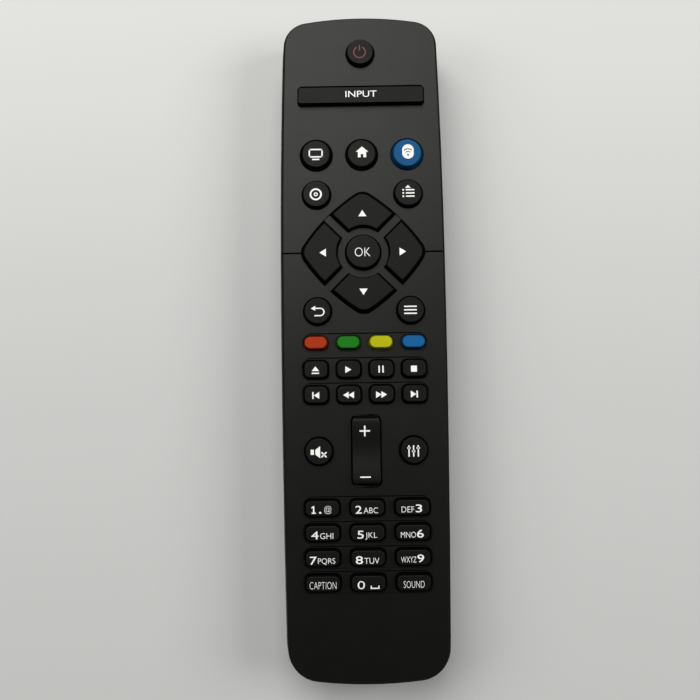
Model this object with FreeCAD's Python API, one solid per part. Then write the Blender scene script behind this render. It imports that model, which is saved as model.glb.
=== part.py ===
import FreeCAD, Part
import math
import os

Vector = FreeCAD.Vector
UP = Vector(0, 0, 1)
ALONG_X = Vector(1, 0, 0)
ALONG_Y = Vector(0, 1, 0)

# A slim handheld remote control for a home theater set. Millimetres.
# X is across, +Y points to the head with the power key, +Z is up through the keys.
# The origin is on the table, under the middle of the case.

# Outline of the case at the seam between its two halves
length = 203.0
width = 51.7
head_inset = 1.25
tail_inset = 1.55
head_radius = 109.0
tail_radius = 131.0
head_corner = 9.0
tail_corner = 10.5

# Heights, the eased edge of the face and the round belly
seam_z = 9.6
face_z = 18.8
side_draft = 7.5
edge_ease = 0.6
belly_radius = 5.0
belly_steps = 3

# Walls and the gaps between mouldings
front_wall = 1.8
rear_wall = 1.8
rear_floor = 1.6
door_wall = 1.6
door_floor = 1.5
door_gap = 0.15
seam_gap = 0.15
face_line_width = 0.5
face_line_depth = 0.3

# Distances between the key rows, from the head edge to the tail edge: they share the length
head_to_power = 13.1
power_to_source = 13.65
source_to_shortcut = 18.75
shortcut_to_menu = 12.45
menu_to_pad = 17.95
pad_to_back = 17.9
back_to_colour = 9.5
colour_to_play = 8.0
play_to_skip = 7.5
skip_to_rocker = 16.6
rocker_to_number = 16.45
number_pitch = 7.13
number_rows = 4
number_to_tail = 29.76

# Distances across the number block: they share the width
side_to_number = 7.35
number_width = 10.8
number_gap = 2.3

# Columns of the other keys
shortcut_column = 13.9
menu_column = 13.95
strip_pitch = 9.72

# Openings of the face for the keys
power_bore = 9.1
shortcut_bore = 10.2
menu_bore = 9.15
back_bore = 8.85
sound_bore = 8.8
ok_bore = 11.2
source_width = 39.1
source_height = 6.3
source_corner = 1.0
colour_width = 7.75
colour_height = 4.7
colour_corner = 2.2
strip_width = 7.95
strip_row_gap = 1.45
strip_corner = 2.0
number_row_gap = 1.63
number_corner = 1.9
rocker_width = 9.05
rocker_length = 21.5
rocker_corner = 2.1
corner_steps = 4

# The arrow pad: a rounded diamond with bowed sides, split by a cross of ribs
pad_apex = 19.6
pad_flank = 15.56
pad_tip_radius = 4.2
tip_growth = 1.13
pad_rib = 2.3
pad_ring = 7.7
pad_sunk = 0.35

# Sunken strips that join the keys of a row
strip_sunk = 0.3
strip_margin = 0.3

# Key caps
cap_gap = 0.25
cap_proud = 1.6
arrow_proud = 1.3
ok_proud = 1.5
source_low = 0.35
source_high = 1.8
foot_ledge = 0.5
foot_thickness = 0.7
foot_gap = 0.12

# The volume rocker and its pivot
rocker_end_gap = 0.5
rocker_hump = 1.5
rocker_dish = 0.75
rocker_shoulder = 0.5
rocker_hump_from_end = 1.7
rocker_foot = 0.7
rocker_travel = 0.572
trunnion_radius = 0.7
trunnion_gap = 0.06
ear_thickness = 1.0
ear_gap = 0.3
ear_wall = 0.3

# Circuit board and rubber mat
board_thickness = 1.0
board_side_gap = 3.6
board_head_gap = 7.5
board_tail_gap = 9.5
mat_web = 0.5
mat_margin = 0.5
mat_tail_margin = 3.5
dome_gap = 0.05
dome_size = 4.4
dome_wall = 0.6
dome_roof = 0.25

# Battery bay, its two cells and their contacts
door_from_tail = 75.6
cell_radius = 5.25
cell_body = 43.7
cell_nub = 0.8
cell_nub_radius = 1.9
cell_spacing = 11.2
cell_clearance = 0.2
well_side = 0.35
well_wall = 1.0
well_floor_gap = 0.4
roof_thickness = 0.9
well_from_door = 4.0
contact_plate = 0.3
contact_width = 8.0
contact_height = 8.4
spring_length = 4.5
spring_radius = 3.0
deck_z = 6.9
deck_thickness = 1.25
deck_side_gap = 0.8
deck_from_tail = 13.5
lip_overlap = 1.0
bulkhead = 1.6

# Screws, bosses and the ribs that carry the board
boss_from_side = 3.3
boss_radius = 1.8
boss_clearance = 0.3
boss_from_tail = 17.5
boss_root = 0.6
screw_radius = 0.8
screw_pilot_gap = 0.05
screw_head_radius = 1.7
screw_head = 1.2
screw_length = 7.0
rib_thickness = 1.2
rib_width = 5.0
rib_from_side = 6.0
rib_from_head = (16.0, 54.0, 92.0)

# Tongue along the rim of the rear cover
tongue_height = 1.2
tongue_inset = 2.1
tongue_thickness = 0.9
tongue_root = 1.5

# Infrared window and lamp at the head
window_half = 11.0
window_low = 7.6
window_high = 13.6
window_gap = 0.1
window_flange = 1.0
window_lip = 1.1
window_room = 2.0
lamp_radius = 2.5
lamp_length = 8.0
lamp_rim = 0.45
lamp_rim_length = 1.0
lamp_gap = 1.0
lamp_drop = 0.45
lamp_lead = 0.5
lamp_pitch = 2.54
lamp_lead_reach = 3.0

# Parts under the circuit board
chip_size = (10.0, 6.0, 1.6)
chip_legs = 6
chip_leg_pitch = 1.5
chip_leg_reach = 1.0
chip_leg_root = 0.5
chip_from_pad = (-7.0, 33.0)
resonator_size = (7.0, 3.2, 3.4)
resonator_from_pad = (8.0, 32.0)
capacitor_radius = 2.5
capacitor_length = 7.0
capacitor_from_pad = (9.0, 44.0)
part_gap = 0.05

# Thumb grip of the battery door
grip_lines = 5
grip_pitch = 2.4
grip_width = 16.0
grip_line = 0.9
grip_depth = 0.35
grip_from_door = 7.0

# How far the layout of the keys is spread along and across the case
spans = [
    head_to_power, power_to_source, source_to_shortcut, shortcut_to_menu, menu_to_pad,
    pad_to_back, back_to_colour, colour_to_play, play_to_skip, skip_to_rocker, rocker_to_number,
]
spans += [number_pitch] * (number_rows - 1) + [number_to_tail]
along = length / sum(spans)
across = width / (2 * side_to_number + 3 * number_width + 2 * number_gap)
even = min(along, across)

# The key rows from the head to the tail
head_y = length / 2
tail_y = -length / 2
rows = []
reached = head_y
for span in spans[:-1]:
    reached -= span * along
    rows.append(reached)
power_y, source_y, shortcut_y, menu_y, pad_y, back_y, colour_y, play_y, skip_y, rocker_y = rows[:10]
number_ys = rows[10:]

# Plan sizes of the openings that are not round
source_size = (source_width * across, source_height * along)
colour_size = (colour_width * across, colour_height * along)
strip_size = (strip_width * across, (play_to_skip - strip_row_gap) * along)
number_size = (number_width * across, (number_pitch - number_row_gap) * along)
rocker_size = (rocker_width * across, rocker_length * along)

# Key columns
strip_xs = [strip_pitch * across * step for step in (-1.5, -0.5, 0.5, 1.5)]
number_xs = [(number_width + number_gap) * across * step for step in (-1, 0, 1)]
menu_x = menu_column * across
shortcut_x = shortcut_column * across

# The arrow pad at the size of this case
apex = pad_apex * even
flank = pad_flank * even
ring = pad_ring * even

# Heights, and the sizes that follow for the case
lean = math.tan(math.radians(side_draft))
beyond = 1.0
above_face = face_z + beyond
under_face = face_z - front_wall
foot_top = under_face - foot_gap
foot_low = foot_top - foot_thickness
head_half = width / 2 - head_inset
tail_half = width / 2 - tail_inset
door_y = tail_y + door_from_tail
cell_z = door_floor + cell_clearance + cell_radius
roof_under = cell_z + cell_radius + cell_clearance
roof_top = roof_under + roof_thickness
board_low = roof_top + part_gap
board_top = board_low + board_thickness
board_half = head_half - board_side_gap
mat_half = board_half - mat_margin
web_top = board_top + mat_web
deck_top = deck_z + deck_thickness
deck_tail = tail_y + deck_from_tail
deck_half = tail_half - door_wall - deck_side_gap
boss_x = deck_half - boss_from_side
rib_x = head_half - rib_from_side
well_head = door_y - well_from_door
cell_length = cell_body + cell_nub
well_length = cell_length + spring_length + 2 * contact_plate
well_tail = well_head - well_length
well_half = cell_spacing / 2 + cell_radius + well_side
far = 2 * width

# The rocker and its pins
rocker_half = rocker_size[1] / 2 - rocker_end_gap
rocker_low = web_top + rocker_travel + dome_gap + foot_gap
rocker_foot_top = rocker_low + rocker_foot
pivot_z = rocker_foot_top - foot_gap
ear_inner = rocker_size[0] / 2 + foot_ledge + ear_gap

# The infrared window and the lamp behind it
window_depth = front_wall + window_flange + window_room
lamp_z = board_low - lamp_radius - lamp_drop
lamp_tip = head_y - window_depth + window_room - lamp_gap


def unit(v):
    """The direction of a vector."""
    return v.multiply(1 / v.Length)


def arc_points(centre, start, end):
    """Start, middle and end of the short arc about centre."""
    radius = (start - centre).Length
    return start, centre + unit((start - centre) + (end - centre)) * radius, end


def box(x0, x1, y0, y1, z0, z1):
    """A block between two corners."""
    return Part.makeBox(x1 - x0, y1 - y0, z1 - z0, Vector(x0, y0, z0))


def cylinder(x, y, radius, z0, z1):
    """An upright round bar."""
    return Part.makeCylinder(radius, z1 - z0, Vector(x, y, z0))


def joined(solids):
    """Several solids fused into one."""
    return solids[0].multiFuse(solids[1:]).removeSplitter()


def group(solids):
    """Several separate solids in one piece of the list."""
    return Part.makeCompound(solids)


def save(name, shape):
    """One file for one piece."""
    shape.exportStep(os.path.join("parts", name + ".step"))


# The outline of the case

def side_radius_to(end_half, run):
    """The radius of a side, parallel to Y at the widest point, that ends end_half out after run."""
    step = width / 2 - end_half
    return (step * step + run * run) / (2 * step)


def crossing(a, ra, b, rb, near):
    """Where two circles meet, at the crossing that lies nearer to a point."""
    apart = b - a
    span = apart.Length
    reach = (ra * ra - rb * rb + span * span) / (2 * span)
    rise = math.sqrt(ra * ra - reach * reach)
    foot = a + apart * (reach / span)
    across = Vector(-apart.y, apart.x, 0) * (rise / span)
    return min((foot + across, foot - across), key=near.distanceToPoint)


def outline_half(inset, z, end_y, end_half, end_radius, corner):
    """The points of three arcs, from the widest place on the right to the middle of one end."""
    way = 1 if end_y > 0 else -1
    side_radius = side_radius_to(end_half, abs(end_y - pad_y))
    side_centre = Vector(width / 2 - side_radius, pad_y, z)
    end_centre = Vector(0, end_y - way * end_radius, z)
    near = Vector(end_half, end_y, z)
    bend = crossing(side_centre, side_radius - corner, end_centre, end_radius - corner, near)
    widest = Vector(width / 2 - inset, pad_y, z)
    on_side = side_centre + unit(bend - side_centre) * (side_radius - inset)
    on_end = end_centre + unit(bend - end_centre) * (end_radius - inset)
    tip = Vector(0, end_y - way * inset, z)
    return [
        arc_points(side_centre, widest, on_side),
        arc_points(bend, on_side, on_end),
        arc_points(end_centre, on_end, tip),
    ]


def flipped(arcs):
    """The same arcs on the left."""
    return [[Vector(-p.x, p.y, p.z) for p in points] for points in arcs]


def backwards(arcs):
    """The same arcs, run the other way."""
    return [points[::-1] for points in reversed(arcs)]


def outline(inset, z):
    """The closed outline of the case, moved in by inset."""
    head = outline_half(inset, z, head_y, head_half, head_radius, head_corner)
    tail = outline_half(inset, z, tail_y, tail_half, tail_radius, tail_corner)
    loop = head + backwards(flipped(head)) + flipped(tail) + backwards(tail)
    return Part.Wire([Part.Arc(*points).toShape() for points in loop])


def prism(inset, z0, z1):
    """The case outline as an upright block."""
    return Part.Face(outline(inset, z0)).extrude(Vector(0, 0, z1 - z0))


def drafted(inset, z1):
    """The case outline from the seam up to z1, with walls that lean in."""
    shift = (z1 - seam_z) * lean
    wires = [outline(inset, seam_z), outline(inset + shift, z1)]
    return Part.makeLoft(wires, True, True)


# Plan shapes of the keys and their openings

def rounded_block(x, y, size, corner, grow, z0, z1):
    """An upright block with its corners rounded in a few steps, grown by grow on every side."""
    radius = corner + grow
    reach_x = size[0] / 2 - corner
    reach_y = size[1] / 2 - corner
    ring = []
    for turn, (sx, sy) in enumerate(((1, 1), (-1, 1), (-1, -1), (1, -1))):
        for step in range(corner_steps + 1):
            angle = math.radians(90 * (turn + step / corner_steps))
            px = x + sx * reach_x + radius * math.cos(angle)
            py = y + sy * reach_y + radius * math.sin(angle)
            ring.append(Vector(px, py, z0))
    return Part.Face(Part.makePolygon(ring + ring[:1])).extrude(UP * (z1 - z0))


def diamond(grow, z0, z1):
    """The plan of the arrow pad as an upright block."""
    tip = apex + grow * tip_growth
    side = (flank + grow) / math.sqrt(2)
    tips = [Vector(tip, pad_y, z0), Vector(0, pad_y + tip, z0)]
    tips += [Vector(-tip, pad_y, z0), Vector(0, pad_y - tip, z0)]
    edges = []
    for turn, (sx, sy) in enumerate(((1, 1), (-1, 1), (-1, -1), (1, -1))):
        middle = Vector(sx * side, pad_y + sy * side, z0)
        edges.append(Part.Arc(tips[turn], middle, tips[(turn + 1) % 4]).toShape())
    block = Part.Face(Part.Wire(edges)).extrude(Vector(0, 0, z1 - z0))
    corners = [e for e in block.Edges if e.Curve.TypeId == "Part::GeomLine"]
    return block.makeFillet(pad_tip_radius * even + grow, corners)


def cross(width_of_rib, z0, z1):
    """The two diagonal ribs of the arrow pad."""
    bars = []
    for angle in (45, -45):
        bar = box(-far / 2, far / 2, -width_of_rib / 2, width_of_rib / 2, z0, z1)
        bar.rotate(Vector(0, 0, 0), UP, angle)
        bar.translate(Vector(0, pad_y, 0))
        bars.append(bar)
    return bars[0].fuse(bars[1])


def arrow_plans(grow, z0, z1):
    """The four arrow keys' plans, grown by grow, in the order right, up, left, down."""
    middle = cylinder(0, pad_y, ring - grow, z0, z1)
    whole = diamond(grow, z0, z1).cut(cross(pad_rib - 2 * grow, z0, z1)).cut(middle)
    around = {}
    for solid in whole.Solids:
        centre = solid.CenterOfMass
        angle = math.degrees(math.atan2(centre.y - pad_y, centre.x))
        around[round(angle / 90) % 4] = solid
    return [around[n] for n in range(4)]


# The list of keys

def key_row(y, names, xs, kind, size, corner=0.0):
    """Keys of one kind side by side on one row."""
    return [(name, kind, x, y, size, corner) for name, x in zip(names, xs)]


ROUND = "round"
SLAB = "slab"

keys = []
keys += key_row(power_y, ["power_key"], [0.0], ROUND, power_bore * even)
keys += key_row(
    shortcut_y, ["tv_key", "home_key", "wireless_key"],
    [-shortcut_x, 0.0, shortcut_x], ROUND, shortcut_bore * even,
)
keys += key_row(menu_y, ["disc_menu_key", "top_menu_key"], [-menu_x, menu_x], ROUND, menu_bore * even)
keys += key_row(back_y, ["back_key", "options_key"], [-menu_x, menu_x], ROUND, back_bore * even)
keys += key_row(
    colour_y, ["red_key", "green_key", "yellow_key", "blue_key"],
    strip_xs, SLAB, colour_size, colour_corner * even,
)
keys += key_row(
    play_y, ["eject_key", "play_key", "pause_key", "stop_key"],
    strip_xs, SLAB, strip_size, strip_corner * even,
)
keys += key_row(
    skip_y, ["previous_key", "rewind_key", "forward_key", "next_key"],
    strip_xs, SLAB, strip_size, strip_corner * even,
)
keys += key_row(rocker_y, ["mute_key", "equaliser_key"], [-menu_x, menu_x], ROUND, sound_bore * even)
number_names = [
    ["number_1_key", "number_2_key", "number_3_key"],
    ["number_4_key", "number_5_key", "number_6_key"],
    ["number_7_key", "number_8_key", "number_9_key"],
    ["caption_key", "number_0_key", "sound_key"],
]
for y, names in zip(number_ys, number_names):
    keys += key_row(y, names, number_xs, SLAB, number_size, number_corner * even)


# Key caps

def round_cap(x, y, bore, proud):
    """A round cap on an eight-sided foot."""
    ledge = bore / 2 + foot_ledge
    cap = cylinder(x, y, bore / 2 - cap_gap, foot_top, face_z + proud)
    step = math.radians(45)
    reach = ledge / math.cos(step / 2)
    corners = []
    for n in range(8):
        angle = (n + 0.5) * step
        corners.append(Vector(x + reach * math.cos(angle), y + reach * math.sin(angle), foot_low))
    foot = Part.Face(Part.makePolygon(corners + corners[:1])).extrude(UP * foot_thickness)
    return joined([cap, foot])


def slab_cap(x, y, size, corner):
    """A cap with round corners on a square-cut foot."""
    reach_x = size[0] / 2 + foot_ledge
    reach_y = size[1] / 2 + foot_ledge
    cap = rounded_block(x, y, size, corner, -cap_gap, foot_top, face_z + cap_proud)
    foot = box(x - reach_x, x + reach_x, y - reach_y, y + reach_y, foot_low, foot_top)
    return joined([cap, foot])


def source_cap():
    """The long wedge key: low along its head edge and high along its tail edge."""
    half_x = source_size[0] / 2
    half_y = source_size[1] / 2
    reach_y = half_y - cap_gap
    profile = [
        Vector(-half_x + cap_gap, source_y - reach_y, foot_top),
        Vector(-half_x + cap_gap, source_y - reach_y, face_z + source_high),
        Vector(-half_x + cap_gap, source_y + reach_y, face_z + source_low),
        Vector(-half_x + cap_gap, source_y + reach_y, foot_top),
    ]
    wedge = Part.Face(Part.makePolygon(profile + profile[:1]))
    wedge = wedge.extrude(Vector(source_size[0] - 2 * cap_gap, 0, 0))
    upright = [e for e in wedge.Edges if abs(e.tangentAt(e.FirstParameter).z) > 0.99]
    wedge = wedge.makeFillet(source_corner - cap_gap, upright)
    foot = box(
        -half_x - foot_ledge, half_x + foot_ledge,
        source_y - half_y - foot_ledge, source_y + half_y + foot_ledge,
        foot_low, foot_top,
    )
    return joined([wedge, foot])


def arrow_caps():
    """The four arrow keys."""
    caps = arrow_plans(-cap_gap, foot_top, face_z + arrow_proud)
    feet = arrow_plans(foot_ledge, foot_low, foot_top)
    return [joined([cap, foot]) for cap, foot in zip(caps, feet)]


def rocker():
    """The volume rocker: two raised ends, a dished middle, and a pin at each side."""
    left = -rocker_size[0] / 2 + cap_gap
    shoulder = face_z + rocker_shoulder
    hump = face_z + rocker_hump
    hump_y = rocker_half - rocker_hump_from_end

    def at(y, z):
        return Vector(left, rocker_y + y, z)

    ease = (rocker_half - hump_y) * (1 - math.sqrt(0.5))
    lift = (hump - shoulder) * math.sqrt(0.5)
    head_end = Part.Arc(
        at(rocker_half, shoulder), at(rocker_half - ease, shoulder + lift), at(hump_y, hump)
    ).toShape()
    dish = Part.Arc(
        at(hump_y, hump), at(0, face_z + rocker_dish), at(-hump_y, hump)
    ).toShape()
    tail_end = Part.Arc(
        at(-hump_y, hump), at(-rocker_half + ease, shoulder + lift), at(-rocker_half, shoulder)
    ).toShape()
    rest = Part.makePolygon([
        at(-rocker_half, shoulder), at(-rocker_half, rocker_low),
        at(rocker_half, rocker_low), at(rocker_half, shoulder),
    ])
    profile = Part.Face(Part.Wire([head_end, dish, tail_end] + rest.Edges))
    cap = profile.extrude(Vector(-2 * left, 0, 0))
    upright = [e for e in cap.Edges if e.Curve.TypeId == "Part::GeomLine"
               and abs(e.tangentAt(e.FirstParameter).z) > 0.99]
    cap = cap.makeFillet(rocker_corner - cap_gap, upright)
    foot = box(
        -rocker_size[0] / 2 - foot_ledge, rocker_size[0] / 2 + foot_ledge,
        rocker_y - rocker_half, rocker_y + rocker_half,
        rocker_low, rocker_foot_top,
    )
    pin_reach = ear_inner + ear_thickness
    pin = Part.makeCylinder(
        trunnion_radius, 2 * pin_reach, Vector(-pin_reach, rocker_y, pivot_z), ALONG_X
    )
    return joined([cap, foot, pin])


def rocker_ears():
    """The two lugs under the face that hold the rocker's pins."""
    reach = trunnion_radius + trunnion_gap + ear_wall
    top = under_face + boss_root
    lugs = []
    for x in (ear_inner, -ear_inner - ear_thickness):
        lug = box(x, x + ear_thickness, rocker_y - 2 * reach, rocker_y + 2 * reach, pivot_z, top)
        lugs.append(lug)
        hook = box(x, x + ear_thickness, rocker_y - reach, rocker_y + reach, pivot_z - reach, pivot_z)
        lugs.append(hook)
    return lugs


def pin_bore():
    """The hole for the rocker's pins."""
    reach = ear_inner + 2 * ear_thickness
    radius = trunnion_radius + trunnion_gap
    return Part.makeCylinder(radius, 2 * reach, Vector(-reach, rocker_y, pivot_z), ALONG_X)


# The two halves of the case

def boss_places():
    """Where the two case screws stand, behind the number keys."""
    return [(x, tail_y + boss_from_tail) for x in (-boss_x, boss_x)]


def window_box(grow, deep):
    """The space of the infrared window, from the outside in as far as deep."""
    return box(
        -window_half - grow, window_half + grow,
        head_y - deep, head_y + beyond,
        window_low - grow, window_high + grow,
    )


def front_skin():
    """The outside of the upper half, with its eased edge."""
    edge_z = face_z - edge_ease
    edge_inset = (edge_z - seam_z) * lean
    wires = [outline(0, seam_z), outline(edge_inset, edge_z), outline(edge_inset + edge_ease, face_z)]
    return Part.makeLoft(wires, True, True)


def row_strip(y, xs, size, corner):
    """The sunken strip along one row of keys."""
    span = (max(xs) - min(xs) + size[0], size[1])
    return rounded_block(0, y, span, corner * even, strip_margin, face_z - strip_sunk, above_face)


def key_openings():
    """Every hole of the face."""
    holes = []
    for name, kind, x, y, size, corner in keys:
        if kind == ROUND:
            holes.append(cylinder(x, y, size / 2, seam_z, above_face))
        else:
            holes.append(rounded_block(x, y, size, corner, 0, seam_z, above_face))
    holes.append(rounded_block(0, source_y, source_size, source_corner, 0, seam_z, above_face))
    holes.append(rounded_block(0, rocker_y, rocker_size, rocker_corner, 0, seam_z, above_face))
    holes.append(cylinder(0, pad_y, ok_bore * even / 2, seam_z, above_face))
    holes += arrow_plans(0, seam_z, above_face)
    return holes


def sunken_areas():
    """The arrow pad's well and the strips along the rows."""
    areas = [diamond(0, face_z - pad_sunk, above_face)]
    areas.append(row_strip(colour_y, strip_xs, colour_size, colour_corner))
    for y in (play_y, skip_y):
        areas.append(row_strip(y, strip_xs, strip_size, strip_corner))
    for y in number_ys:
        areas.append(row_strip(y, number_xs, number_size, number_corner))
    return areas


def face_line():
    """The fine line across the face, level with the middle of the arrow pad."""
    half = face_line_width / 2
    slab = box(-far, far, pad_y - half, pad_y + half, seam_z, above_face)
    return slab.cut(drafted(face_line_depth, face_z - face_line_depth))


def front_cover():
    """The upper half: face, key openings, screw bosses and the rocker's lugs."""
    cover = front_skin().cut(drafted(front_wall, under_face))
    cover = cover.cut(group(sunken_areas()))
    cover = cover.cut(group(key_openings()))
    cover = cover.cut(face_line())
    cover = cover.cut(window_box(window_gap, window_depth))
    added = rocker_ears()
    for x, y in boss_places():
        added.append(cylinder(x, y, boss_radius, deck_top, under_face + boss_root))
    cover = joined([cover] + added)
    pilots = [pin_bore()]
    for x, y in boss_places():
        pilots.append(cylinder(x, y, screw_radius + screw_pilot_gap, deck_top, deck_top + screw_length))
    return cover.cut(group(pilots))


def rear_skin(inset, floor):
    """The lower half's outside, or its hollow, with a belly rounded in a few steps."""
    radius = belly_radius - inset
    wires = []
    for step in range(belly_steps + 1):
        turn = math.radians(90 * (1 - step / belly_steps))
        moved_in = inset + radius * (1 - math.cos(turn))
        wires.append(outline(moved_in, floor + radius * (1 - math.sin(turn))))
    wires.append(outline(inset, seam_z))
    return Part.makeLoft(wires, True, True)


def battery_well(grow, low, high):
    """The space of the cells, grown by grow."""
    return box(-well_half - grow, well_half + grow, well_tail - grow, well_head + grow, low, high)


def rear_cover():
    """The lower half: a tub at the head, and a deck with the battery well at the tail."""
    tub = rear_skin(0, 0).cut(rear_skin(rear_wall, rear_floor))
    tub = tub.common(box(-far, far, door_y, far, -beyond, seam_z))
    wall = prism(rear_wall / 2, rear_floor / 2, seam_z)
    wall = wall.common(rear_skin(0, 0))
    wall = wall.common(box(-far, far, door_y, door_y + bulkhead, 0, seam_z))
    rim_low = seam_z - tongue_root
    rim = prism(rear_wall / 2, rim_low, seam_z).fuse(
        prism(tongue_inset, seam_z, seam_z + tongue_height)
    )
    hollow = prism(tongue_inset + tongue_thickness, rim_low, seam_z + tongue_height)
    rim = rim.cut(hollow).common(box(-far, far, door_y, far, 0, face_z))
    deck = box(-deck_half, deck_half, deck_tail, door_y + bulkhead / 2, deck_z, deck_top)
    well = battery_well(well_wall, door_floor + well_floor_gap, roof_top)
    pieces = [tub, wall, rim, deck, well]
    for back in rib_from_head:
        y = head_y - back
        for x in (-rib_x, rib_x):
            x0 = x - rib_width / 2
            pieces.append(box(x0, x0 + rib_width, y, y + rib_thickness, rear_floor / 2, board_low))
    cover = joined(pieces)
    cover = cover.cut(battery_well(0, 0, roof_under))
    cover = cover.cut(window_box(window_gap, window_depth))
    clear = window_half + window_lip + window_gap
    cover = cover.cut(box(
        -clear, clear, head_y - window_depth, head_y - rear_wall,
        window_low - window_lip - window_gap, face_z,
    ))
    bores = []
    for x, y in boss_places():
        bores.append(cylinder(x, y, screw_radius + screw_pilot_gap, 0, deck_top + beyond))
    return cover.cut(group(bores))


def battery_door():
    """The sliding door: the tail end of the underside, with a lip along each side and a thumb grip."""
    shell = rear_skin(0, 0).cut(rear_skin(door_wall, door_floor))
    span = box(-far, far, tail_y - beyond, door_y - door_gap, -beyond, seam_z - seam_gap)
    shell = shell.common(span)
    lip_low = deck_top + door_gap
    lip_inner = deck_half - lip_overlap
    lips = prism(door_wall / 2, lip_low, seam_z - seam_gap)
    lips = lips.common(box(-far, far, deck_tail, door_y - door_gap, 0, seam_z))
    lips = lips.cut(box(-lip_inner, lip_inner, -far, far, 0, face_z))
    door = joined([shell] + lips.Solids)
    grooves = []
    for step in range(grip_lines):
        y = door_y - grip_from_door - step * grip_pitch
        half = grip_width / 2
        grooves.append(box(-half, half, y - grip_line, y, -beyond, grip_depth))
    return door.cut(group(grooves))


# Circuit board, rubber mat and what they carry

def boss_notches(z0, z1):
    """Square clearances round the two bosses, open to the sides."""
    reach = boss_radius + boss_clearance
    notches = []
    for x, y in boss_places():
        outer = math.copysign(width, x)
        inner = x - math.copysign(reach, x)
        notches.append(box(min(outer, inner), max(outer, inner), y - reach, y + reach, z0, z1))
    return group(notches)


def circuit_board():
    """The board, notched round the bosses."""
    board = box(
        -board_half, board_half, tail_y + board_tail_gap, head_y - board_head_gap, board_low, board_top
    )
    return board.cut(boss_notches(board_low, board_top))


def dome_places():
    """Where the mat has a dome, with the underside of the key above it."""
    places = []
    for name, kind, x, y, size, corner in keys:
        places.append((x, y, foot_low))
    middle = (ring + apex) / 2
    for x, y in ((0, 0), (middle, 0), (0, middle), (-middle, 0), (0, -middle)):
        places.append((x, pad_y + y, foot_low))
    places.append((0, source_y, foot_low))
    end = rocker_half - dome_size / 2
    places += [(0, rocker_y - end, rocker_low), (0, rocker_y + end, rocker_low)]
    return places


def rubber_mat():
    """The rubber mat: a thin web with a hollow dome under every key."""
    web_tail = number_ys[-1] - number_size[1] / 2 - mat_tail_margin
    web = box(-mat_half, mat_half, web_tail, head_y - board_head_gap, board_top, web_top)
    half = dome_size / 2
    inner = half - dome_wall
    domes = []
    pockets = []
    for x, y, under in dome_places():
        top = under - dome_gap
        domes.append(box(x - half, x + half, y - half, y + half, board_top, top))
        roof = top - dome_roof
        pockets.append(box(x - inner, x + inner, y - inner, y + inner, board_top, roof))
    mat = joined([web] + domes).cut(group(pockets))
    return mat.cut(boss_notches(board_top, web_top))


def infrared_window():
    """The dark window in the head wall, with a ledge behind it."""
    def band(outer, inner):
        above = drafted(outer, face_z).cut(drafted(inner, face_z))
        below = prism(outer, 0, seam_z).cut(prism(inner, 0, seam_z))
        return above.fuse(below)

    pane = band(0, front_wall + window_flange / 2).common(window_box(0, window_depth))
    ledge = band(front_wall + window_gap, front_wall + window_gap + window_flange)
    ledge = ledge.common(window_box(window_lip, window_depth))
    return joined([pane, ledge])


def infrared_lamp():
    """The infrared lamp: a round body with a rim, and two leads bent up to the board."""
    base_y = lamp_tip - lamp_length
    body = Part.makeCylinder(lamp_radius, lamp_length, Vector(0, base_y, lamp_z), ALONG_Y)
    rim = Part.makeCylinder(lamp_radius + lamp_rim, lamp_rim_length, Vector(0, base_y, lamp_z), ALONG_Y)
    pieces = [body, rim]
    half = lamp_lead / 2
    for x in (-lamp_pitch / 2, lamp_pitch / 2):
        back = base_y - lamp_lead_reach
        pieces.append(box(x - half, x + half, back, base_y + half, lamp_z - half, lamp_z + half))
        pieces.append(box(x - half, x + half, back, back + lamp_lead, lamp_z - half, board_low))
    return joined(pieces)


def controller_chip():
    """The controller chip with its two rows of legs, under the board."""
    x = chip_from_pad[0]
    y = pad_y + chip_from_pad[1]
    half_x, half_y, height = chip_size[0] / 2, chip_size[1] / 2, chip_size[2]
    top = board_low - part_gap
    body = box(x - half_x, x + half_x, y - half_y, y + half_y, top - height, top)
    pieces = [body]
    leg = lamp_lead / 2
    for step in range(chip_legs):
        lx = x + (step - (chip_legs - 1) / 2) * chip_leg_pitch
        for way in (-1, 1):
            y_out = y + way * (half_y + chip_leg_reach)
            y_in = y + way * (half_y - chip_leg_root)
            y0, y1 = sorted((y_out, y_in))
            pieces.append(box(lx - leg, lx + leg, y0, y1, board_low - height / 2, board_low))
    return joined(pieces)


def resonator():
    """The resonator: a small can with round ends."""
    x = resonator_from_pad[0]
    y = pad_y + resonator_from_pad[1]
    size = resonator_size
    return rounded_block(x, y, size[:2], size[1] / 2, 0, board_low - size[2], board_low)


def capacitor():
    """The capacitor, lying against the board."""
    x = capacitor_from_pad[0]
    y = pad_y + capacitor_from_pad[1]
    z = board_low - capacitor_radius - part_gap
    return Part.makeCylinder(capacitor_radius, capacitor_length, Vector(x, y, z), ALONG_Y)


# The cells, their springs and plates

def cell(side):
    """One cell. The nub points to the head on the left, and to the tail on the right."""
    x = side * cell_spacing / 2
    if side < 0:
        body_y = well_head - contact_plate - cell_length
        nub_y = body_y + cell_body
    else:
        nub_y = well_tail + contact_plate
        body_y = nub_y + cell_nub
    body = Part.makeCylinder(cell_radius, cell_body, Vector(x, body_y, cell_z), ALONG_Y)
    nub = Part.makeCylinder(cell_nub_radius, cell_nub, Vector(x, nub_y, cell_z), ALONG_Y)
    return joined([body, nub])


def battery_springs():
    """The outer shapes of the two springs that press on the flat ends of the cells."""
    tail_end = Vector(-cell_spacing / 2, well_tail + contact_plate, cell_z)
    head_end = Vector(cell_spacing / 2, well_head - contact_plate, cell_z)
    left = Part.makeCylinder(spring_radius, spring_length, tail_end, ALONG_Y)
    right = Part.makeCylinder(spring_radius, spring_length, head_end, ALONG_Y * -1)
    return group([left, right])


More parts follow.
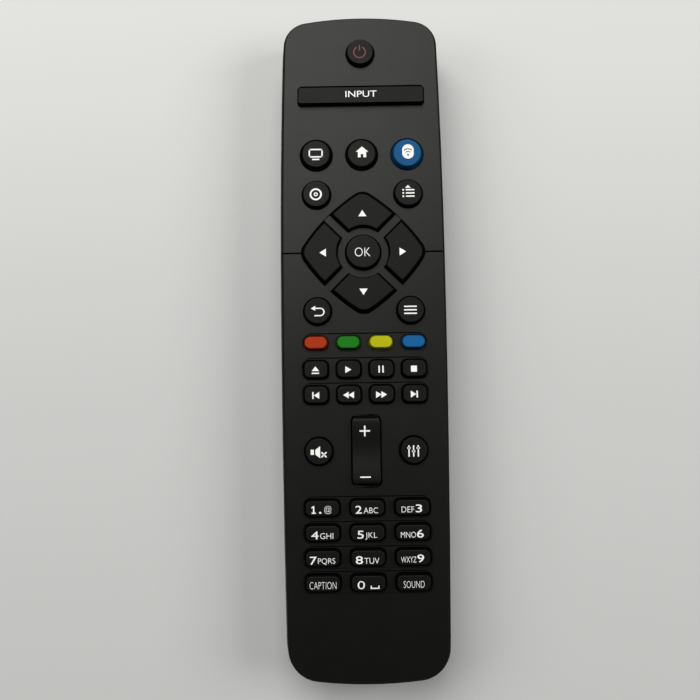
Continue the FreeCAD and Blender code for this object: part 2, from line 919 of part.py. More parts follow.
def contact_sheet(x0, x1, y0):
    """A flat contact against an end wall of the well."""
    half = contact_height / 2
    return box(x0, x1, y0, y0 + contact_plate, cell_z - half, cell_z + half)


def contact_bridge():
    """The plate that joins the two cells at the tail."""
    half = cell_spacing / 2 + contact_width / 2
    return contact_sheet(-half, half, well_tail)


def contact_tabs():
    """The two separate plates at the head of the well."""
    tabs = []
    for x in (-cell_spacing / 2, cell_spacing / 2):
        tabs.append(contact_sheet(x - contact_width / 2, x + contact_width / 2, well_head - contact_plate))
    return group(tabs)


def case_screws():
    """The two screws that hold the deck to the bosses."""
    screws = []
    for x, y in boss_places():
        head = cylinder(x, y, screw_head_radius, deck_z - screw_head, deck_z)
        shank = cylinder(x, y, screw_radius, deck_z, deck_z + screw_length)
        screws.append(joined([head, shank]))
    return group(screws)


def main():
    os.makedirs("parts", exist_ok=True)
    save("front_cover", front_cover())
    save("rear_cover", rear_cover())
    save("battery_door", battery_door())
    save("circuit_board", circuit_board())
    save("rubber_mat", rubber_mat())
    save("infrared_window", infrared_window())
    save("infrared_lamp", infrared_lamp())
    save("controller_chip", controller_chip())
    save("resonator", resonator())
    save("capacitor", capacitor())
    save("battery_left", cell(-1))
    save("battery_right", cell(1))
    save("battery_springs", battery_springs())
    save("contact_bridge", contact_bridge())
    save("contact_tabs", contact_tabs())
    save("case_screws", case_screws())
    for name, kind, x, y, size, corner in keys:
        if kind == ROUND:
            save(name, round_cap(x, y, size, cap_proud))
        else:
            save(name, slab_cap(x, y, size, corner))
    arrow_names = ["arrow_right_key", "arrow_up_key", "arrow_left_key", "arrow_down_key"]
    for name, cap in zip(arrow_names, arrow_caps()):
        save(name, cap)
    save("ok_key", round_cap(0, pad_y, ok_bore * even, ok_proud))
    save("source_key", source_cap())
    save("volume_rocker", rocker())


main()
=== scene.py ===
import math
from functools import partial

import bmesh
import bpy
from bpy.props import FloatProperty, FloatVectorProperty, PointerProperty
from bpy.types import Operator, Panel, PropertyGroup
from mathutils import Matrix, Vector


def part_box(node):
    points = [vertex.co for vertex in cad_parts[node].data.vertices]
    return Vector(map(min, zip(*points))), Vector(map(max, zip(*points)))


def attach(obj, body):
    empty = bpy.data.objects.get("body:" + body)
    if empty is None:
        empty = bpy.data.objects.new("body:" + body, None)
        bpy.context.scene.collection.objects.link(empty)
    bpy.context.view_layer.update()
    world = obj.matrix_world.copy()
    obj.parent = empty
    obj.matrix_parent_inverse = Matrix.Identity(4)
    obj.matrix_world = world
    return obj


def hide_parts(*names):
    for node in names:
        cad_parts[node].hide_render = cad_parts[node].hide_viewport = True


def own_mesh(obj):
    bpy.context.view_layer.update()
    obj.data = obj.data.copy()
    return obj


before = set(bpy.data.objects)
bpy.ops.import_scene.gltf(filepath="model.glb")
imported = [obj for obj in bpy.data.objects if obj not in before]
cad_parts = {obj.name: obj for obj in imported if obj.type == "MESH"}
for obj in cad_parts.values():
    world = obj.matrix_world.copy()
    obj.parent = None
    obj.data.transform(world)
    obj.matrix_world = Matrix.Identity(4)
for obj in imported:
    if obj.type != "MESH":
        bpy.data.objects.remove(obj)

bl_info = {
    "name": "Home theater remote control",
    "version": (1, 0, 0),
    "blender": (4, 5, 0),
    "location": "3D View > Sidebar > Remote",
    "description": "Finishes the frame of a handheld remote control",
    "category": "Object",
}

MM = 0.001
X, Y, Z = range(3)

# Heights of the frame in millimetres
FACE = 18.8
COLLAR = FACE - 0.1
FOOT_LOW = 16.18
FOOT_TOP = 16.88
BOARD_TOP = 14.35
MAT_TOP = 14.85
CELL_Z = 6.95

# A key in millimetres: the gap in its opening, the ledge of its foot, its height over the face
CAP_GAP, FOOT_LEDGE, KEY_PROUD = 0.25, 0.5, 1.6
# Segments of a key's rim, and the upward normal below which a face belongs to its wall, which is
# dull and darkened as painted shade
RIM_STEPS, WALL_SLOPE = 4, 0.8

# Key rows, from the head to the tail
POWER_Y, SOURCE_Y, SHORTCUT_Y, MENU_Y, PAD_Y = 88.4, 74.75, 56.0, 43.55, 25.6
BACK_Y, COLOUR_Y, PLAY_Y, SKIP_Y, ROCKER_Y = 7.7, -1.8, -9.8, -17.3, -33.9
SHORTCUT_X, MENU_X = 13.9, 13.95
STRIP_XS = (-14.58, -4.86, 4.86, 14.58)
NUMBER_XS = (-13.1, 0.0, 13.1)

# Round keys: name, place, opening
SHORTCUT_BORE = 10.2
ROUND_KEYS = (
    ("power_key", 0.0, POWER_Y, 9.1),
    ("tv_key", -SHORTCUT_X, SHORTCUT_Y, SHORTCUT_BORE),
    ("home_key", 0.0, SHORTCUT_Y, SHORTCUT_BORE),
    ("wireless_key", SHORTCUT_X, SHORTCUT_Y, SHORTCUT_BORE),
    ("disc_menu_key", -MENU_X, MENU_Y, 9.15),
    ("top_menu_key", MENU_X, MENU_Y, 9.15),
    ("back_key", -MENU_X, BACK_Y, 8.85),
    ("options_key", MENU_X, BACK_Y, 8.85),
    ("mute_key", -MENU_X, ROCKER_Y, 8.8),
    ("equaliser_key", MENU_X, ROCKER_Y, 8.8),
    ("ok_key", 0.0, PAD_Y, 11.2),
)

# Slab keys by rows: width, depth and corner of the opening, then the places and the names
COLOUR_SIZE, PLAY_SIZE, NUMBER_SIZE = (7.75, 4.7, 2.2), (7.95, 6.05, 2.0), (10.8, 5.5, 1.9)
SLAB_ROWS = (
    (COLOUR_SIZE, COLOUR_Y, STRIP_XS, ("red_key", "green_key", "yellow_key", "blue_key")),
    (PLAY_SIZE, PLAY_Y, STRIP_XS, ("eject_key", "play_key", "pause_key", "stop_key")),
    (PLAY_SIZE, SKIP_Y, STRIP_XS, ("previous_key", "rewind_key", "forward_key", "next_key")),
    (NUMBER_SIZE, -50.35, NUMBER_XS, ("number_1_key", "number_2_key", "number_3_key")),
    (NUMBER_SIZE, -57.48, NUMBER_XS, ("number_4_key", "number_5_key", "number_6_key")),
    (NUMBER_SIZE, -64.61, NUMBER_XS, ("number_7_key", "number_8_key", "number_9_key")),
    (NUMBER_SIZE, -71.74, NUMBER_XS, ("caption_key", "number_0_key", "sound_key")),
)

# Arrow keys: the way each points. Along it, from the middle of the pad in millimetres, lie the
# point that the walls draw in to, and the middle of the key.
ARROW_KEYS = {
    "arrow_up_key": (0, 1), "arrow_right_key": (1, 0),
    "arrow_down_key": (0, -1), "arrow_left_key": (-1, 0),
}
ARROW_HUB = 9.0
ARROW_MIDDLE = (7.7 + 19.6) / 2

# Keys that stand lower than the others
LOW_PROUD = {"ok_key": 1.5, **dict.fromkeys(ARROW_KEYS, 1.3)}

# The rocker in millimetres: half its size, its underside, the axis of its pins, its domes
ROCKER_HALF_W, ROCKER_HALF_L = 9.05 / 2 - CAP_GAP, 21.5 / 2 - 0.5
ROCKER_LOW, ROCKER_PIN_Z = 15.642, 16.172
ROCKER_DOME_Y, ROCKER_DOME_TOP = ROCKER_HALF_L - 2.2, 15.592

# Keys that aren't black, each with a slot and a colour of its own
TONES = ("red", "green", "yellow", "blue", "wireless")
PAINTS = {f"{tone}_key": f"key_{tone}" for tone in TONES}


class RemoteColours(PropertyGroup):
    """Colours of the finishes."""
    case: FloatVectorProperty(
        name="Case", description="Colour of both halves of the case",
        subtype="COLOR", min=0, max=1, default=(0.0025, 0.0026, 0.0023))
    key: FloatVectorProperty(
        name="Keys", description="Colour of the black keys",
        subtype="COLOR", min=0, max=1, default=(0.0028, 0.0029, 0.0027))
    print: FloatVectorProperty(
        name="Print", description="Colour of the printed signs",
        subtype="COLOR", min=0, max=1, default=(0.94, 0.94, 0.92))
    power: FloatVectorProperty(
        name="Power sign", description="Colour of the sign on the power key",
        subtype="COLOR", min=0, max=1, default=(0.21, 0.045, 0.065))
    red: FloatVectorProperty(
        name="Red key", description="Colour of the red key",
        subtype="COLOR", min=0, max=1, default=(0.36, 0.030, 0.005))
    green: FloatVectorProperty(
        name="Green key", description="Colour of the green key",
        subtype="COLOR", min=0, max=1, default=(0.010, 0.170, 0.007))
    yellow: FloatVectorProperty(
        name="Yellow key", description="Colour of the yellow key",
        subtype="COLOR", min=0, max=1, default=(0.44, 0.43, 0.002))
    blue: FloatVectorProperty(
        name="Blue key", description="Colour of the blue key",
        subtype="COLOR", min=0, max=1, default=(0.005, 0.105, 0.310))
    wireless: FloatVectorProperty(
        name="Wireless key", description="Colour of the wireless key",
        subtype="COLOR", min=0, max=1, default=(0.004, 0.082, 0.225))


class RemoteSizes(PropertyGroup):
    """Small sizes of the keys and their print."""
    round_taper: FloatProperty(
        name="Round taper", description="How far a round key draws in over the face",
        default=0.35 * MM, min=0, max=1 * MM, precision=5, unit="LENGTH")
    slab_taper: FloatProperty(
        name="Slab taper", description="How far a slab key draws in over the face",
        default=0.38 * MM, min=0, max=1 * MM, precision=5, unit="LENGTH")
    rim: FloatProperty(
        name="Rim", description="Radius of the rim of a key",
        default=0.28 * MM, min=0.05 * MM, max=1 * MM, precision=5, unit="LENGTH")
    print_height: FloatProperty(
        name="Print height", description="How far the printed signs stand over a key",
        default=0.02 * MM, min=0.005 * MM, max=0.1 * MM, precision=5, unit="LENGTH")


class RemoteStudio(PropertyGroup):
    """The light and the ground."""
    key_power: FloatProperty(
        name="Main light", description="Power of the softbox over the head",
        default=4.8, min=0, unit="POWER")
    side_power: FloatProperty(
        name="Side lights", description="Power of the left softbox. The right one is stronger",
        default=1.5, min=0, unit="POWER")
    room: FloatProperty(
        name="Room light", description="Strength of the light from all round",
        default=0.07, min=0, subtype="FACTOR")
    # The two ground colours paint light on the ground: lighter beyond the head, darker towards the
    # tail.
    painted_light_ground_tail: FloatVectorProperty(
        name="Near ground", description="Colour of the ground beyond the tail",
        subtype="COLOR", min=0, max=1, default=(0.60, 0.603, 0.615))
    painted_light_ground_head: FloatVectorProperty(
        name="Far ground", description="Colour of the ground beyond the head",
        subtype="COLOR", min=0, max=1, default=(0.675, 0.678, 0.69))


def colours():
    return bpy.context.scene.remote_colours


def sizes():
    return bpy.context.scene.remote_sizes


def studio():
    return bpy.context.scene.remote_studio


# Nodes written as expressions

class Flow:
    """A socket with arithmetic: an expression on values adds its own nodes."""

    def __init__(self, nodes, socket):
        self.nodes = nodes
        self.socket = socket

    def maths(self, operation, *terms):
        return self.nodes.node(
            "ShaderNodeMath", {"operation": operation}, dict(enumerate(terms)))

    def fraction(self):
        return self.maths("FRACT", self)

    def __add__(self, other):
        return self.maths("ADD", self, other)

    def __radd__(self, other):
        return self.maths("ADD", other, self)

    def __sub__(self, other):
        return self.maths("SUBTRACT", self, other)

    def __rsub__(self, other):
        return self.maths("SUBTRACT", other, self)

    def __mul__(self, other):
        return self.maths("MULTIPLY", self, other)

    def __rmul__(self, other):
        return self.maths("MULTIPLY", other, self)

    def __gt__(self, other):
        return self.maths("GREATER_THAN", self, other)

    def __lt__(self, other):
        return self.maths("LESS_THAN", self, other)


class Nodes:
    """The nodes of a material or of the world, put together one by one."""

    def __init__(self, owner):
        owner.use_nodes = True
        self.tree = owner.node_tree

    def node(self, kind, settings=None, values=None, output=0):
        """One node: its settings come first, then the values or links of its sockets."""
        made = self.tree.nodes.new(kind)
        for key, value in (settings or {}).items():
            setattr(made, key, value)
        for socket, value in (values or {}).items():
            if isinstance(value, Flow):
                self.tree.links.new(value.socket, made.inputs[socket])
            else:
                made.inputs[socket].default_value = value
        return Flow(self, made.outputs[output])

    def close(self, other, plain, share, output):
        """End in a mix of the plain shader and another, by the other's share."""
        mix = self.node("ShaderNodeMixShader", {}, {
            0: share, 1: Flow(self, self.tree.nodes[plain].outputs[0]), 2: other})
        self.tree.links.new(mix.socket, self.tree.nodes[output].inputs[0])


class Finish(Nodes):
    """A material round its main shader."""

    def __init__(self, name, plain):
        self.material = bpy.data.materials.new(name)
        super().__init__(self.material)
        self.shader = self.tree.nodes["Principled BSDF"]
        for socket, value in plain.items():
            self.shader.inputs[socket].default_value = value
        self.place = self.node("ShaderNodeTexCoord", output="Object")

    def noise(self, scale, detail=2.0, place=None):
        """Soft noise on the piece's own coordinates."""
        return self.node("ShaderNodeTexNoise", {}, {
            "Vector": place or self.place, "Scale": scale, "Detail": detail})

    def stretched(self, scale):
        """The piece's own coordinates, with a scale for each axis."""
        return self.node("ShaderNodeMapping", {}, {"Vector": self.place, "Scale": scale})

    def axis(self, name):
        """One coordinate of the piece."""
        return self.node("ShaderNodeSeparateXYZ", {}, {0: self.place}, output=name)

    def blend(self, share, low, high):
        """A colour between two colours."""
        low, high = (end if isinstance(end, Flow) else (*end, 1.0) for end in (low, high))
        return self.node(
            "ShaderNodeMix", {"data_type": "RGBA"}, {0: share, 6: low, 7: high}, output=2)

    def feed(self, socket, flow):
        """Link a flow to the main shader."""
        self.tree.links.new(flow.socket, self.shader.inputs[socket])

    def bump(self, height, strength, depth):
        """Relief from a height, depth in millimetres."""
        self.feed("Normal", self.node("ShaderNodeBump", {}, {
            "Strength": strength, "Distance": depth * MM, "Height": height}))

    def fade_out(self, near, far, tone):
        """From near to far the surface turns into an even tone, as the camera and gloss see it."""
        away = self.node(
            "ShaderNodeVectorMath", {"operation": "LENGTH"}, {0: self.place}, output="Value")
        share = self.node("ShaderNodeMapRange", {"interpolation_type": "SMOOTHSTEP"}, {
            "Value": away, "From Min": near, "From Max": far})
        seen = self.node("ShaderNodeLightPath", output="Is Camera Ray")
        reflected = self.node("ShaderNodeLightPath", output="Is Glossy Ray")
        glow = self.node("ShaderNodeEmission", {}, {"Color": (tone, tone, tone, 1.0)})
        self.close(glow, "Principled BSDF", share * (seen + reflected), "Material Output")


def tones(colour, spread):
    """A colour a little darker and a little lighter."""
    return [c * (1 - spread) for c in colour], [min(1.0, c * (1 + spread)) for c in colour]


def moulded(name, tone, roughness, grain, depth, specular, share=1.0):
    """Moulded plastic: fine grain, faint cloudiness and slightly uneven gloss.

    The tone is a colour or the name of one of the user's colours, and share darkens it, which
    paints shade on walls and in recesses.
    """
    colour = getattr(colours(), tone) if isinstance(tone, str) else tone
    made = Finish(name, {"Specular IOR Level": specular})
    cloud = made.noise(55.0, 3.0)
    pits = made.noise(grain, 1.0)
    made.feed("Base Color", made.blend(cloud, *tones([c * share for c in colour], 0.12)))
    made.feed("Roughness", roughness - 0.03 + 0.06 * made.noise(180.0, 2.0))
    made.bump(pits, 0.6, depth)
    return made.material


case_front = partial(moulded, "case_front_satin", "case", 0.40, 2600.0, 0.010, 0.305)
# The recess finish is the case colour darkened to 0.4 and dull: painted shade on the walls of the
# recesses and in the fine line.
recess_painted_shade = partial(moulded, "case_recess_dull", "case", 0.75, 2600.0, 0.010, 0.04, 0.4)
case_side = partial(moulded, "case_side_matt", "case", 0.62, 1800.0, 0.020, 0.10)
case_rear = partial(moulded, "case_rear_spark_grain", "case", 0.58, 1500.0, 0.030, 0.25)
chip_resin = partial(
    moulded, "chip_black_resin", (0.012, 0.012, 0.013), 0.55, 2200.0, 0.02, 0.5)


def key_finishes(tone, top, wall, gloss, share):
    """A key's satin top and the dull wall below it, darkened by share as painted shade."""
    return (partial(moulded, top, tone, 0.50, 3200.0, 0.006, gloss),
            partial(moulded, wall, tone, 0.75, 3200.0, 0.006, 0.04, share))


# The walls are the key colour darkened to 0.4, and to 0.45 on coloured keys: painted shade.
KEY_FINISHES = {"key_black": key_finishes("key", "key_black_satin", "key_wall_dull", 0.17, 0.4)}
for tone in TONES:
    KEY_FINISHES[f"key_{tone}"] = key_finishes(
        tone, f"key_{tone}_satin", f"key_{tone}_wall", 0.12, 0.45)


def printed(name, tone):
    """Screen print: the ink is a little uneven."""
    made = Finish(name, {"Specular IOR Level": 0.3})
    speck = made.noise(2400.0, 2.0)
    made.feed("Base Color", made.blend(speck, *tones(getattr(colours(), tone), 0.08)))
    made.feed("Roughness", 0.5 + 0.15 * speck)
    made.bump(speck, 0.4, 0.004)
    return made.material


print_white = partial(printed, "print_white_ink", "print")
print_power = partial(printed, "print_power_ink", "power")


def silicone():
    """Moulded silicone, slightly see-through and dusty."""
    made = Finish("mat_silicone", {
        "Subsurface Weight": 0.15, "Subsurface Radius": (MM, MM, MM), "Specular IOR Level": 0.35})
    dust = made.noise(700.0, 4.0)
    made.feed("Base Color", made.blend(dust, (0.30, 0.31, 0.32), (0.40, 0.40, 0.41)))
    made.feed("Roughness", 0.58 + 0.15 * dust)
    made.bump(made.noise(1800.0, 2.0), 0.5, 0.01)
    return made.material


def board_mask():
    """Green solder mask over copper traces, with tinned dots."""
    made = Finish("board_solder_mask", {"Specular IOR Level": 0.55, "IOR": 1.5})
    per_metre, width = 620.0, 0.28
    region = made.noise(26.0, 0.0) > 0.5
    across = (made.axis("X") * per_metre).fraction() < width
    along = (made.axis("Y") * per_metre).fraction() < width
    free = made.noise(60.0, 0.0) > 0.46
    traces = (region * across + (1 - region) * along) * free
    dots = made.node("ShaderNodeTexVoronoi", {}, {
        "Vector": made.stretched((1.0, 1.0, 0.0)), "Scale": 170.0, "Randomness": 0.7}) < 0.14
    weave = made.noise(1600.0, 2.0)
    mask = made.blend(weave, (0.010, 0.075, 0.028), (0.014, 0.095, 0.036))
    lined = made.blend(traces, mask, (0.022, 0.135, 0.050))
    made.feed("Base Color", made.blend(dots, lined, (0.55, 0.54, 0.50)))
    made.feed("Roughness", 0.26 + 0.1 * weave + 0.08 * dots)
    made.bump(traces + 0.6 * dots + 0.15 * weave, 0.8, 0.035)
    return made.material


def metal(name, colour, roughness, stretch):
    """Metal with fine drawing marks along one axis."""
    made = Finish(name, {"Metallic": 1.0})
    marks = made.noise(900.0, 3.0, made.stretched(stretch))
    stain = made.noise(160.0, 3.0)
    made.feed("Base Color", made.blend(stain, *tones(colour, 0.10)))
    made.feed("Roughness", roughness + 0.14 * marks + 0.06 * stain)
    made.bump(marks, 0.35, 0.006)
    return made.material


nickel = partial(metal, "contact_nickel", (0.62, 0.59, 0.54), 0.20, (0.15, 1.0, 1.0))
spring_wire = partial(metal, "spring_nickel_wire", (0.60, 0.58, 0.54), 0.18, (1.0, 1.0, 1.0))
screw_steel = partial(metal, "screw_zinc_plate", (0.50, 0.50, 0.51), 0.26, (1.0, 1.0, 0.2))
tin = partial(metal, "lead_tin", (0.66, 0.65, 0.63), 0.26, (1.0, 0.3, 1.0))
can_metal = partial(metal, "resonator_can", (0.64, 0.63, 0.60), 0.22, (0.2, 1.0, 1.0))
cell_metal = partial(metal, "cell_end_steel", (0.70, 0.69, 0.67), 0.20, (1.0, 1.0, 1.0))


def window_dark():
    """Polished, dark tinted plastic that lets infrared through."""
    made = Finish("window_dark_tint", {
        "IOR": 1.49, "Coat Roughness": 0.03, "Specular IOR Level": 0.5})
    haze = made.noise(90.0, 2.0)
    made.feed("Base Color", made.blend(haze, (0.010, 0.003, 0.006), (0.018, 0.005, 0.009)))
    made.feed("Roughness", 0.05 + 0.05 * haze)
    made.feed("Coat Weight", 0.5 + 0.2 * haze)
    return made.material


def lamp_resin():
    """Clear, bluish resin."""
    made = Finish("lamp_clear_resin", {"IOR": 1.52, "Transmission Weight": 0.55})
    haze = made.noise(400.0, 2.0)
    made.feed("Base Color", made.blend(haze, (0.42, 0.48, 0.70), (0.52, 0.58, 0.78)))
    made.feed("Roughness", 0.05 + 0.06 * haze)
    return made.material


def sleeve():
    """The printed sleeve of the capacitor, with a pale stripe along one side."""
    made = Finish("capacitor_sleeve", {"Specular IOR Level": 0.5})
    stripe = made.axis("X") > 10.8 * MM
    speck = made.noise(900.0, 2.0)
    dark = made.blend(speck, (0.010, 0.014, 0.045), (0.014, 0.020, 0.060))
    made.feed("Base Color", made.blend(stripe, dark, (0.42, 0.44, 0.46)))
    made.feed("Roughness", 0.28 + 0.12 * speck)
    made.bump(speck, 0.3, 0.01)
    return made.material


def jacket(name, band_low, band_high):
    """A cell's printed jacket: graphite with a copper band at the nub's end."""
    made = Finish(name, {"Coat Roughness": 0.12})
    along = made.axis("Y")
    band = (along > band_low * MM) * (along < band_high * MM)
    scuff = made.noise(500.0, 4.0)
    flakes = made.noise(4200.0, 1.0)
    graphite = made.blend(scuff, (0.018, 0.019, 0.022), (0.030, 0.032, 0.036))
    copper = made.blend(flakes, (0.50, 0.22, 0.08), (0.62, 0.30, 0.12))
    made.feed("Base Color", made.blend(band, graphite, copper))
    made.feed("Metallic", 0.3 + 0.6 * band)
    made.feed("Roughness", 0.30 + 0.12 * scuff)
    made.feed("Coat Weight", 0.3 + 0.2 * scuff)
    made.bump(scuff, 0.2, 0.01)
    return made.material


def ground_paper():
    """Pale paper with painted light: a little lighter beyond the head."""
    made = Finish("ground_paper", {"Specular IOR Level": 0.2})
    fibre = made.noise(120.0, 3.0)
    # Painted light: the colour blends along Y from the tail colour to the lighter head colour.
    along = made.node("ShaderNodeMapRange", {"interpolation_type": "SMOOTHSTEP"}, {
        "Value": made.axis("Y") + 0.002 * fibre, "From Min": -0.03, "From Max": 0.13})
    made.feed("Base Color", made.blend(along, studio().painted_light_ground_tail, studio().painted_light_ground_head))
    made.feed("Roughness", 0.8 + 0.1 * fibre)
    made.fade_out(near=0.20, far=0.60, tone=0.60)
    return made.material


MADE = {}


def finish_of(maker):
    """A material, made the first time that it is asked for."""
    if maker not in MADE:
        MADE[maker] = maker()
    return MADE[maker]


# Modelling by hand, in code. Every length that these take is in millimetres.

def mm(*lengths):
    return tuple(length * MM for length in lengths)


def corners(node):
    """A solid's lowest and highest corner at rest."""
    return [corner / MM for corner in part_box(node)]


def rest():
    """Leave edit mode and deselect everything."""
    if bpy.context.object and bpy.context.object.mode != "OBJECT":
        bpy.ops.object.mode_set(mode="OBJECT")
    bpy.ops.object.select_all(action="DESELECT")


def take(*pieces):
    """Select these pieces alone. The first becomes active."""
    rest()
    for piece in pieces:
        piece.select_set(True)
    bpy.context.view_layer.objects.active = pieces[0]


def edit(piece):
    take(piece)
    bpy.ops.object.mode_set(mode="EDIT")


def settled(name):
    """Name the new object, put its place into its mesh and open it in edit mode."""
    piece = bpy.context.object
    piece.name = name
    piece.data.name = name
    bpy.ops.object.transform_apply(location=True, rotation=True, scale=True)
    edit(piece)
    return piece


def block(name, low, high):
    """A block between two corners, in edit mode."""
    rest()
    bpy.ops.mesh.primitive_cube_add(
        size=1, location=mm(*((a + b) / 2 for a, b in zip(low, high))),
        scale=mm(*(b - a for a, b in zip(low, high))))
    return settled(name)


def drum(name, x, y, radius, low, high, sides):
    """An upright round block, in edit mode."""
    rest()
    bpy.ops.mesh.primitive_cylinder_add(
        vertices=sides, radius=radius * MM, depth=(high - low) * MM,
        location=mm(x, y, (low + high) / 2))
    return settled(name)


def everything():
    bpy.ops.mesh.select_all(action="SELECT")


def pick(kind, test):
    """In edit mode, select the vertices, edges or faces that pass a test."""
    modes = {"verts": "VERT", "edges": "EDGE", "faces": "FACE"}
    bpy.ops.mesh.select_mode(type=modes[kind])
    bpy.ops.mesh.select_all(action="DESELECT")
    mesh = bpy.context.object.data
    shape = bmesh.from_edit_mesh(mesh)
    found = [part for part in getattr(shape, kind) if test(part)]
    if not found:
        raise RuntimeError(f"nothing to pick on {bpy.context.object.name}")
    for part in found:
        part.select_set(True)
    bmesh.update_edit_mesh(mesh)


# Tests for pick

def level(z):
    """A test: a face or an edge that lies at height z."""
    return lambda part: all(abs(v.co.z - z * MM) < 0.01 * MM for v in part.verts)


def span(edge, axis):
    """How far an edge reaches along an axis."""
    start, end = edge.verts
    return abs(start.co[axis] - end.co[axis]) / MM


def upright(edge):
    """Whether an edge stands along Z."""
    return span(edge, Z) > 0.1


def above(edge, z):
    """Whether an edge lies wholly above height z."""
    return min(v.co.z for v in edge.verts) > z * MM


def sharp(edge, degrees):
    """Whether the two faces of an edge meet at more than this angle."""
    return len(edge.link_faces) == 2 and edge.calc_face_angle() > math.radians(degrees)


# Steps in edit mode

def bevel(test, offset, segments):
    """Bevel the edges that pass a test."""
    pick("edges", test)
    bpy.ops.mesh.bevel(
        offset=offset * MM, offset_type="OFFSET", segments=segments, profile=0.5,
        affect="EDGES", clamp_overlap=True)


def inset(thickness, depth=0.0):
    bpy.ops.mesh.inset(thickness=thickness * MM, depth=depth * MM, use_even_offset=True)


def shifted(x=0.0, y=0.0, z=0.0):
    bpy.ops.transform.translate(value=mm(x, y, z))


def scaled(x, y, z, about):
    bpy.ops.transform.resize(value=(x, y, z), center_override=mm(*about))


def extruded(x=0.0, y=0.0, z=0.0):
    bpy.ops.mesh.extrude_region_move(TRANSFORM_OT_translate={"value": mm(x, y, z)})


def raised(x, y, start, steps):
    """Extrude the picked face through steps of (width, depth, height), from its start."""
    width, depth, z = start
    for new_width, new_depth, new_z in steps:
        extruded(z=new_z - z)
        scaled(new_width / width, new_depth / depth, 1, (x, y, new_z))
        width, depth, z = new_width, new_depth, new_z


def cut_through(place, axis):
    """Cut the whole mesh at a place along an axis."""
    everything()
    point, normal = Vector(), Vector()
    point[axis], normal[axis] = place * MM, 1.0
    bpy.ops.mesh.bisect(plane_co=point, plane_no=normal)


# Steps on whole pieces

def applied(piece, kind, **settings):
    """Give a piece a modifier with these settings, and apply it."""
    modifier = piece.modifiers.new(kind.lower(), kind)
    for name, value in settings.items():
        setattr(modifier, name, value)
    take(piece)
    bpy.ops.object.modifier_apply(modifier=modifier.name)


def smooth(piece, angle=32.0):
    """Soft shading over the small edges, with flat faces kept flat."""
    take(piece)
    bpy.ops.object.shade_smooth_by_angle(angle=math.radians(angle))
    applied(piece, "WEIGHTED_NORMAL", keep_sharp=True)
    return piece


def closed(piece):
    """One skin without doubles or holes, with its faces outwards."""
    edit(piece)
    everything()
    bpy.ops.mesh.remove_doubles(threshold=0.0005 * MM)
    bpy.ops.mesh.fill_holes(sides=0)
    everything()
    bpy.ops.mesh.normals_make_consistent(inside=False)
    rest()
    return piece


def carved(piece, cutter):
    """Cut one piece out of another, and drop it."""
    applied(piece, "BOOLEAN", operation="DIFFERENCE", object=cutter)
    dropped(cutter)


def dropped(piece):
    bpy.data.objects.remove(piece)


def shown(name, data):
    """A new object in the scene."""
    piece = bpy.data.objects.new(name, data)
    bpy.context.scene.collection.objects.link(piece)
    return piece


def put(mesh, place, turn=0, axis="X"):
    """Turn a mesh about an axis through the origin, by degrees, and move it."""
    spin = Matrix.Rotation(math.radians(turn), 4, axis)
    mesh.transform(Matrix.Translation(mm(*place)) @ spin)


def twin(piece, name, place, turn=0, axis="X"):
    """A copy of a piece with its own mesh, turned and put in its place."""
    mesh = piece.data.copy()
    put(mesh, place, turn, axis)
    return shown(name, mesh)


def joined(name, pieces):
    """Several meshes in one piece."""
    take(*pieces)
    if len(pieces) > 1:
        bpy.ops.object.join()
    pieces[0].name = name
    return pieces[0]


def copied(node, name):
    """A copy of a solid's mesh with its seams closed and its flat faces whole, in edit mode."""
    piece = shown(name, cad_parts[node].data.copy())
    piece.data.materials.clear()
    edit(piece)
    everything()
    bpy.ops.mesh.remove_doubles(threshold=0.002 * MM)
    bpy.ops.mesh.dissolve_limited(angle_limit=math.radians(0.05))
    return piece


def divided(piece, choice):
    """Give each face the material whose number, or whose test, the choice says."""
    for face in piece.data.polygons:
        face.material_index = int(choice(face))


def fitted(piece, body, slot, *makers, nodes=()):
    """Give a finished piece its materials, its body and the solids it stands for. The slot is not
    used.
    """
    materials = piece.data.materials
    while len(materials) > len(makers):
        materials.pop()
    while len(materials) < len(makers):
        materials.append(None)
    for place, maker in enumerate(makers):
        materials[place] = finish_of(maker)
    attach(piece, body)
    if nodes:
        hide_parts(*nodes)


def paint(node, maker):
    """A better material on a solid that keeps its shape."""
    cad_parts[node].material_slots[0].material = finish_of(maker)


# The keys

def top_of(key):
    """Height of a key's top."""
    return FACE + LOW_PROUD.get(key, KEY_PROUD)


def key_fitted(piece, key):
    """A finished key on its own body, with dull walls below its top that are darkened as painted
    shade.
    """
    slot = PAINTS.get(key, "key_black")
    divided(piece, lambda face: face.normal.z < WALL_SLOPE)
    fitted(piece, key, slot, *KEY_FINISHES[slot], nodes=(key,))


def capped(piece, x, y, width, depth, top, taper):
    """Raise a key from the picked face of its foot: collar, leaning wall, soft rim."""
    raised(x, y, (width, depth, FOOT_TOP), [
        (width, depth, COLLAR), (width - 2 * taper, depth - 2 * taper, top)])
    bevel(level(top), sizes().rim / MM, RIM_STEPS)
    return smooth(piece)


def round_key(key, x, y, bore, taper):
    foot, wide = bore + 2 * FOOT_LEDGE, bore - 2 * CAP_GAP
    piece = drum(key + "_cap", x, y, foot / 2, FOOT_LOW, FOOT_TOP, 96)
    pick("faces", level(FOOT_TOP))
    raised(x, y, (foot, foot, FOOT_TOP), [(wide, wide, FOOT_TOP)])
    return capped(piece, x, y, wide, wide, top_of(key), taper)


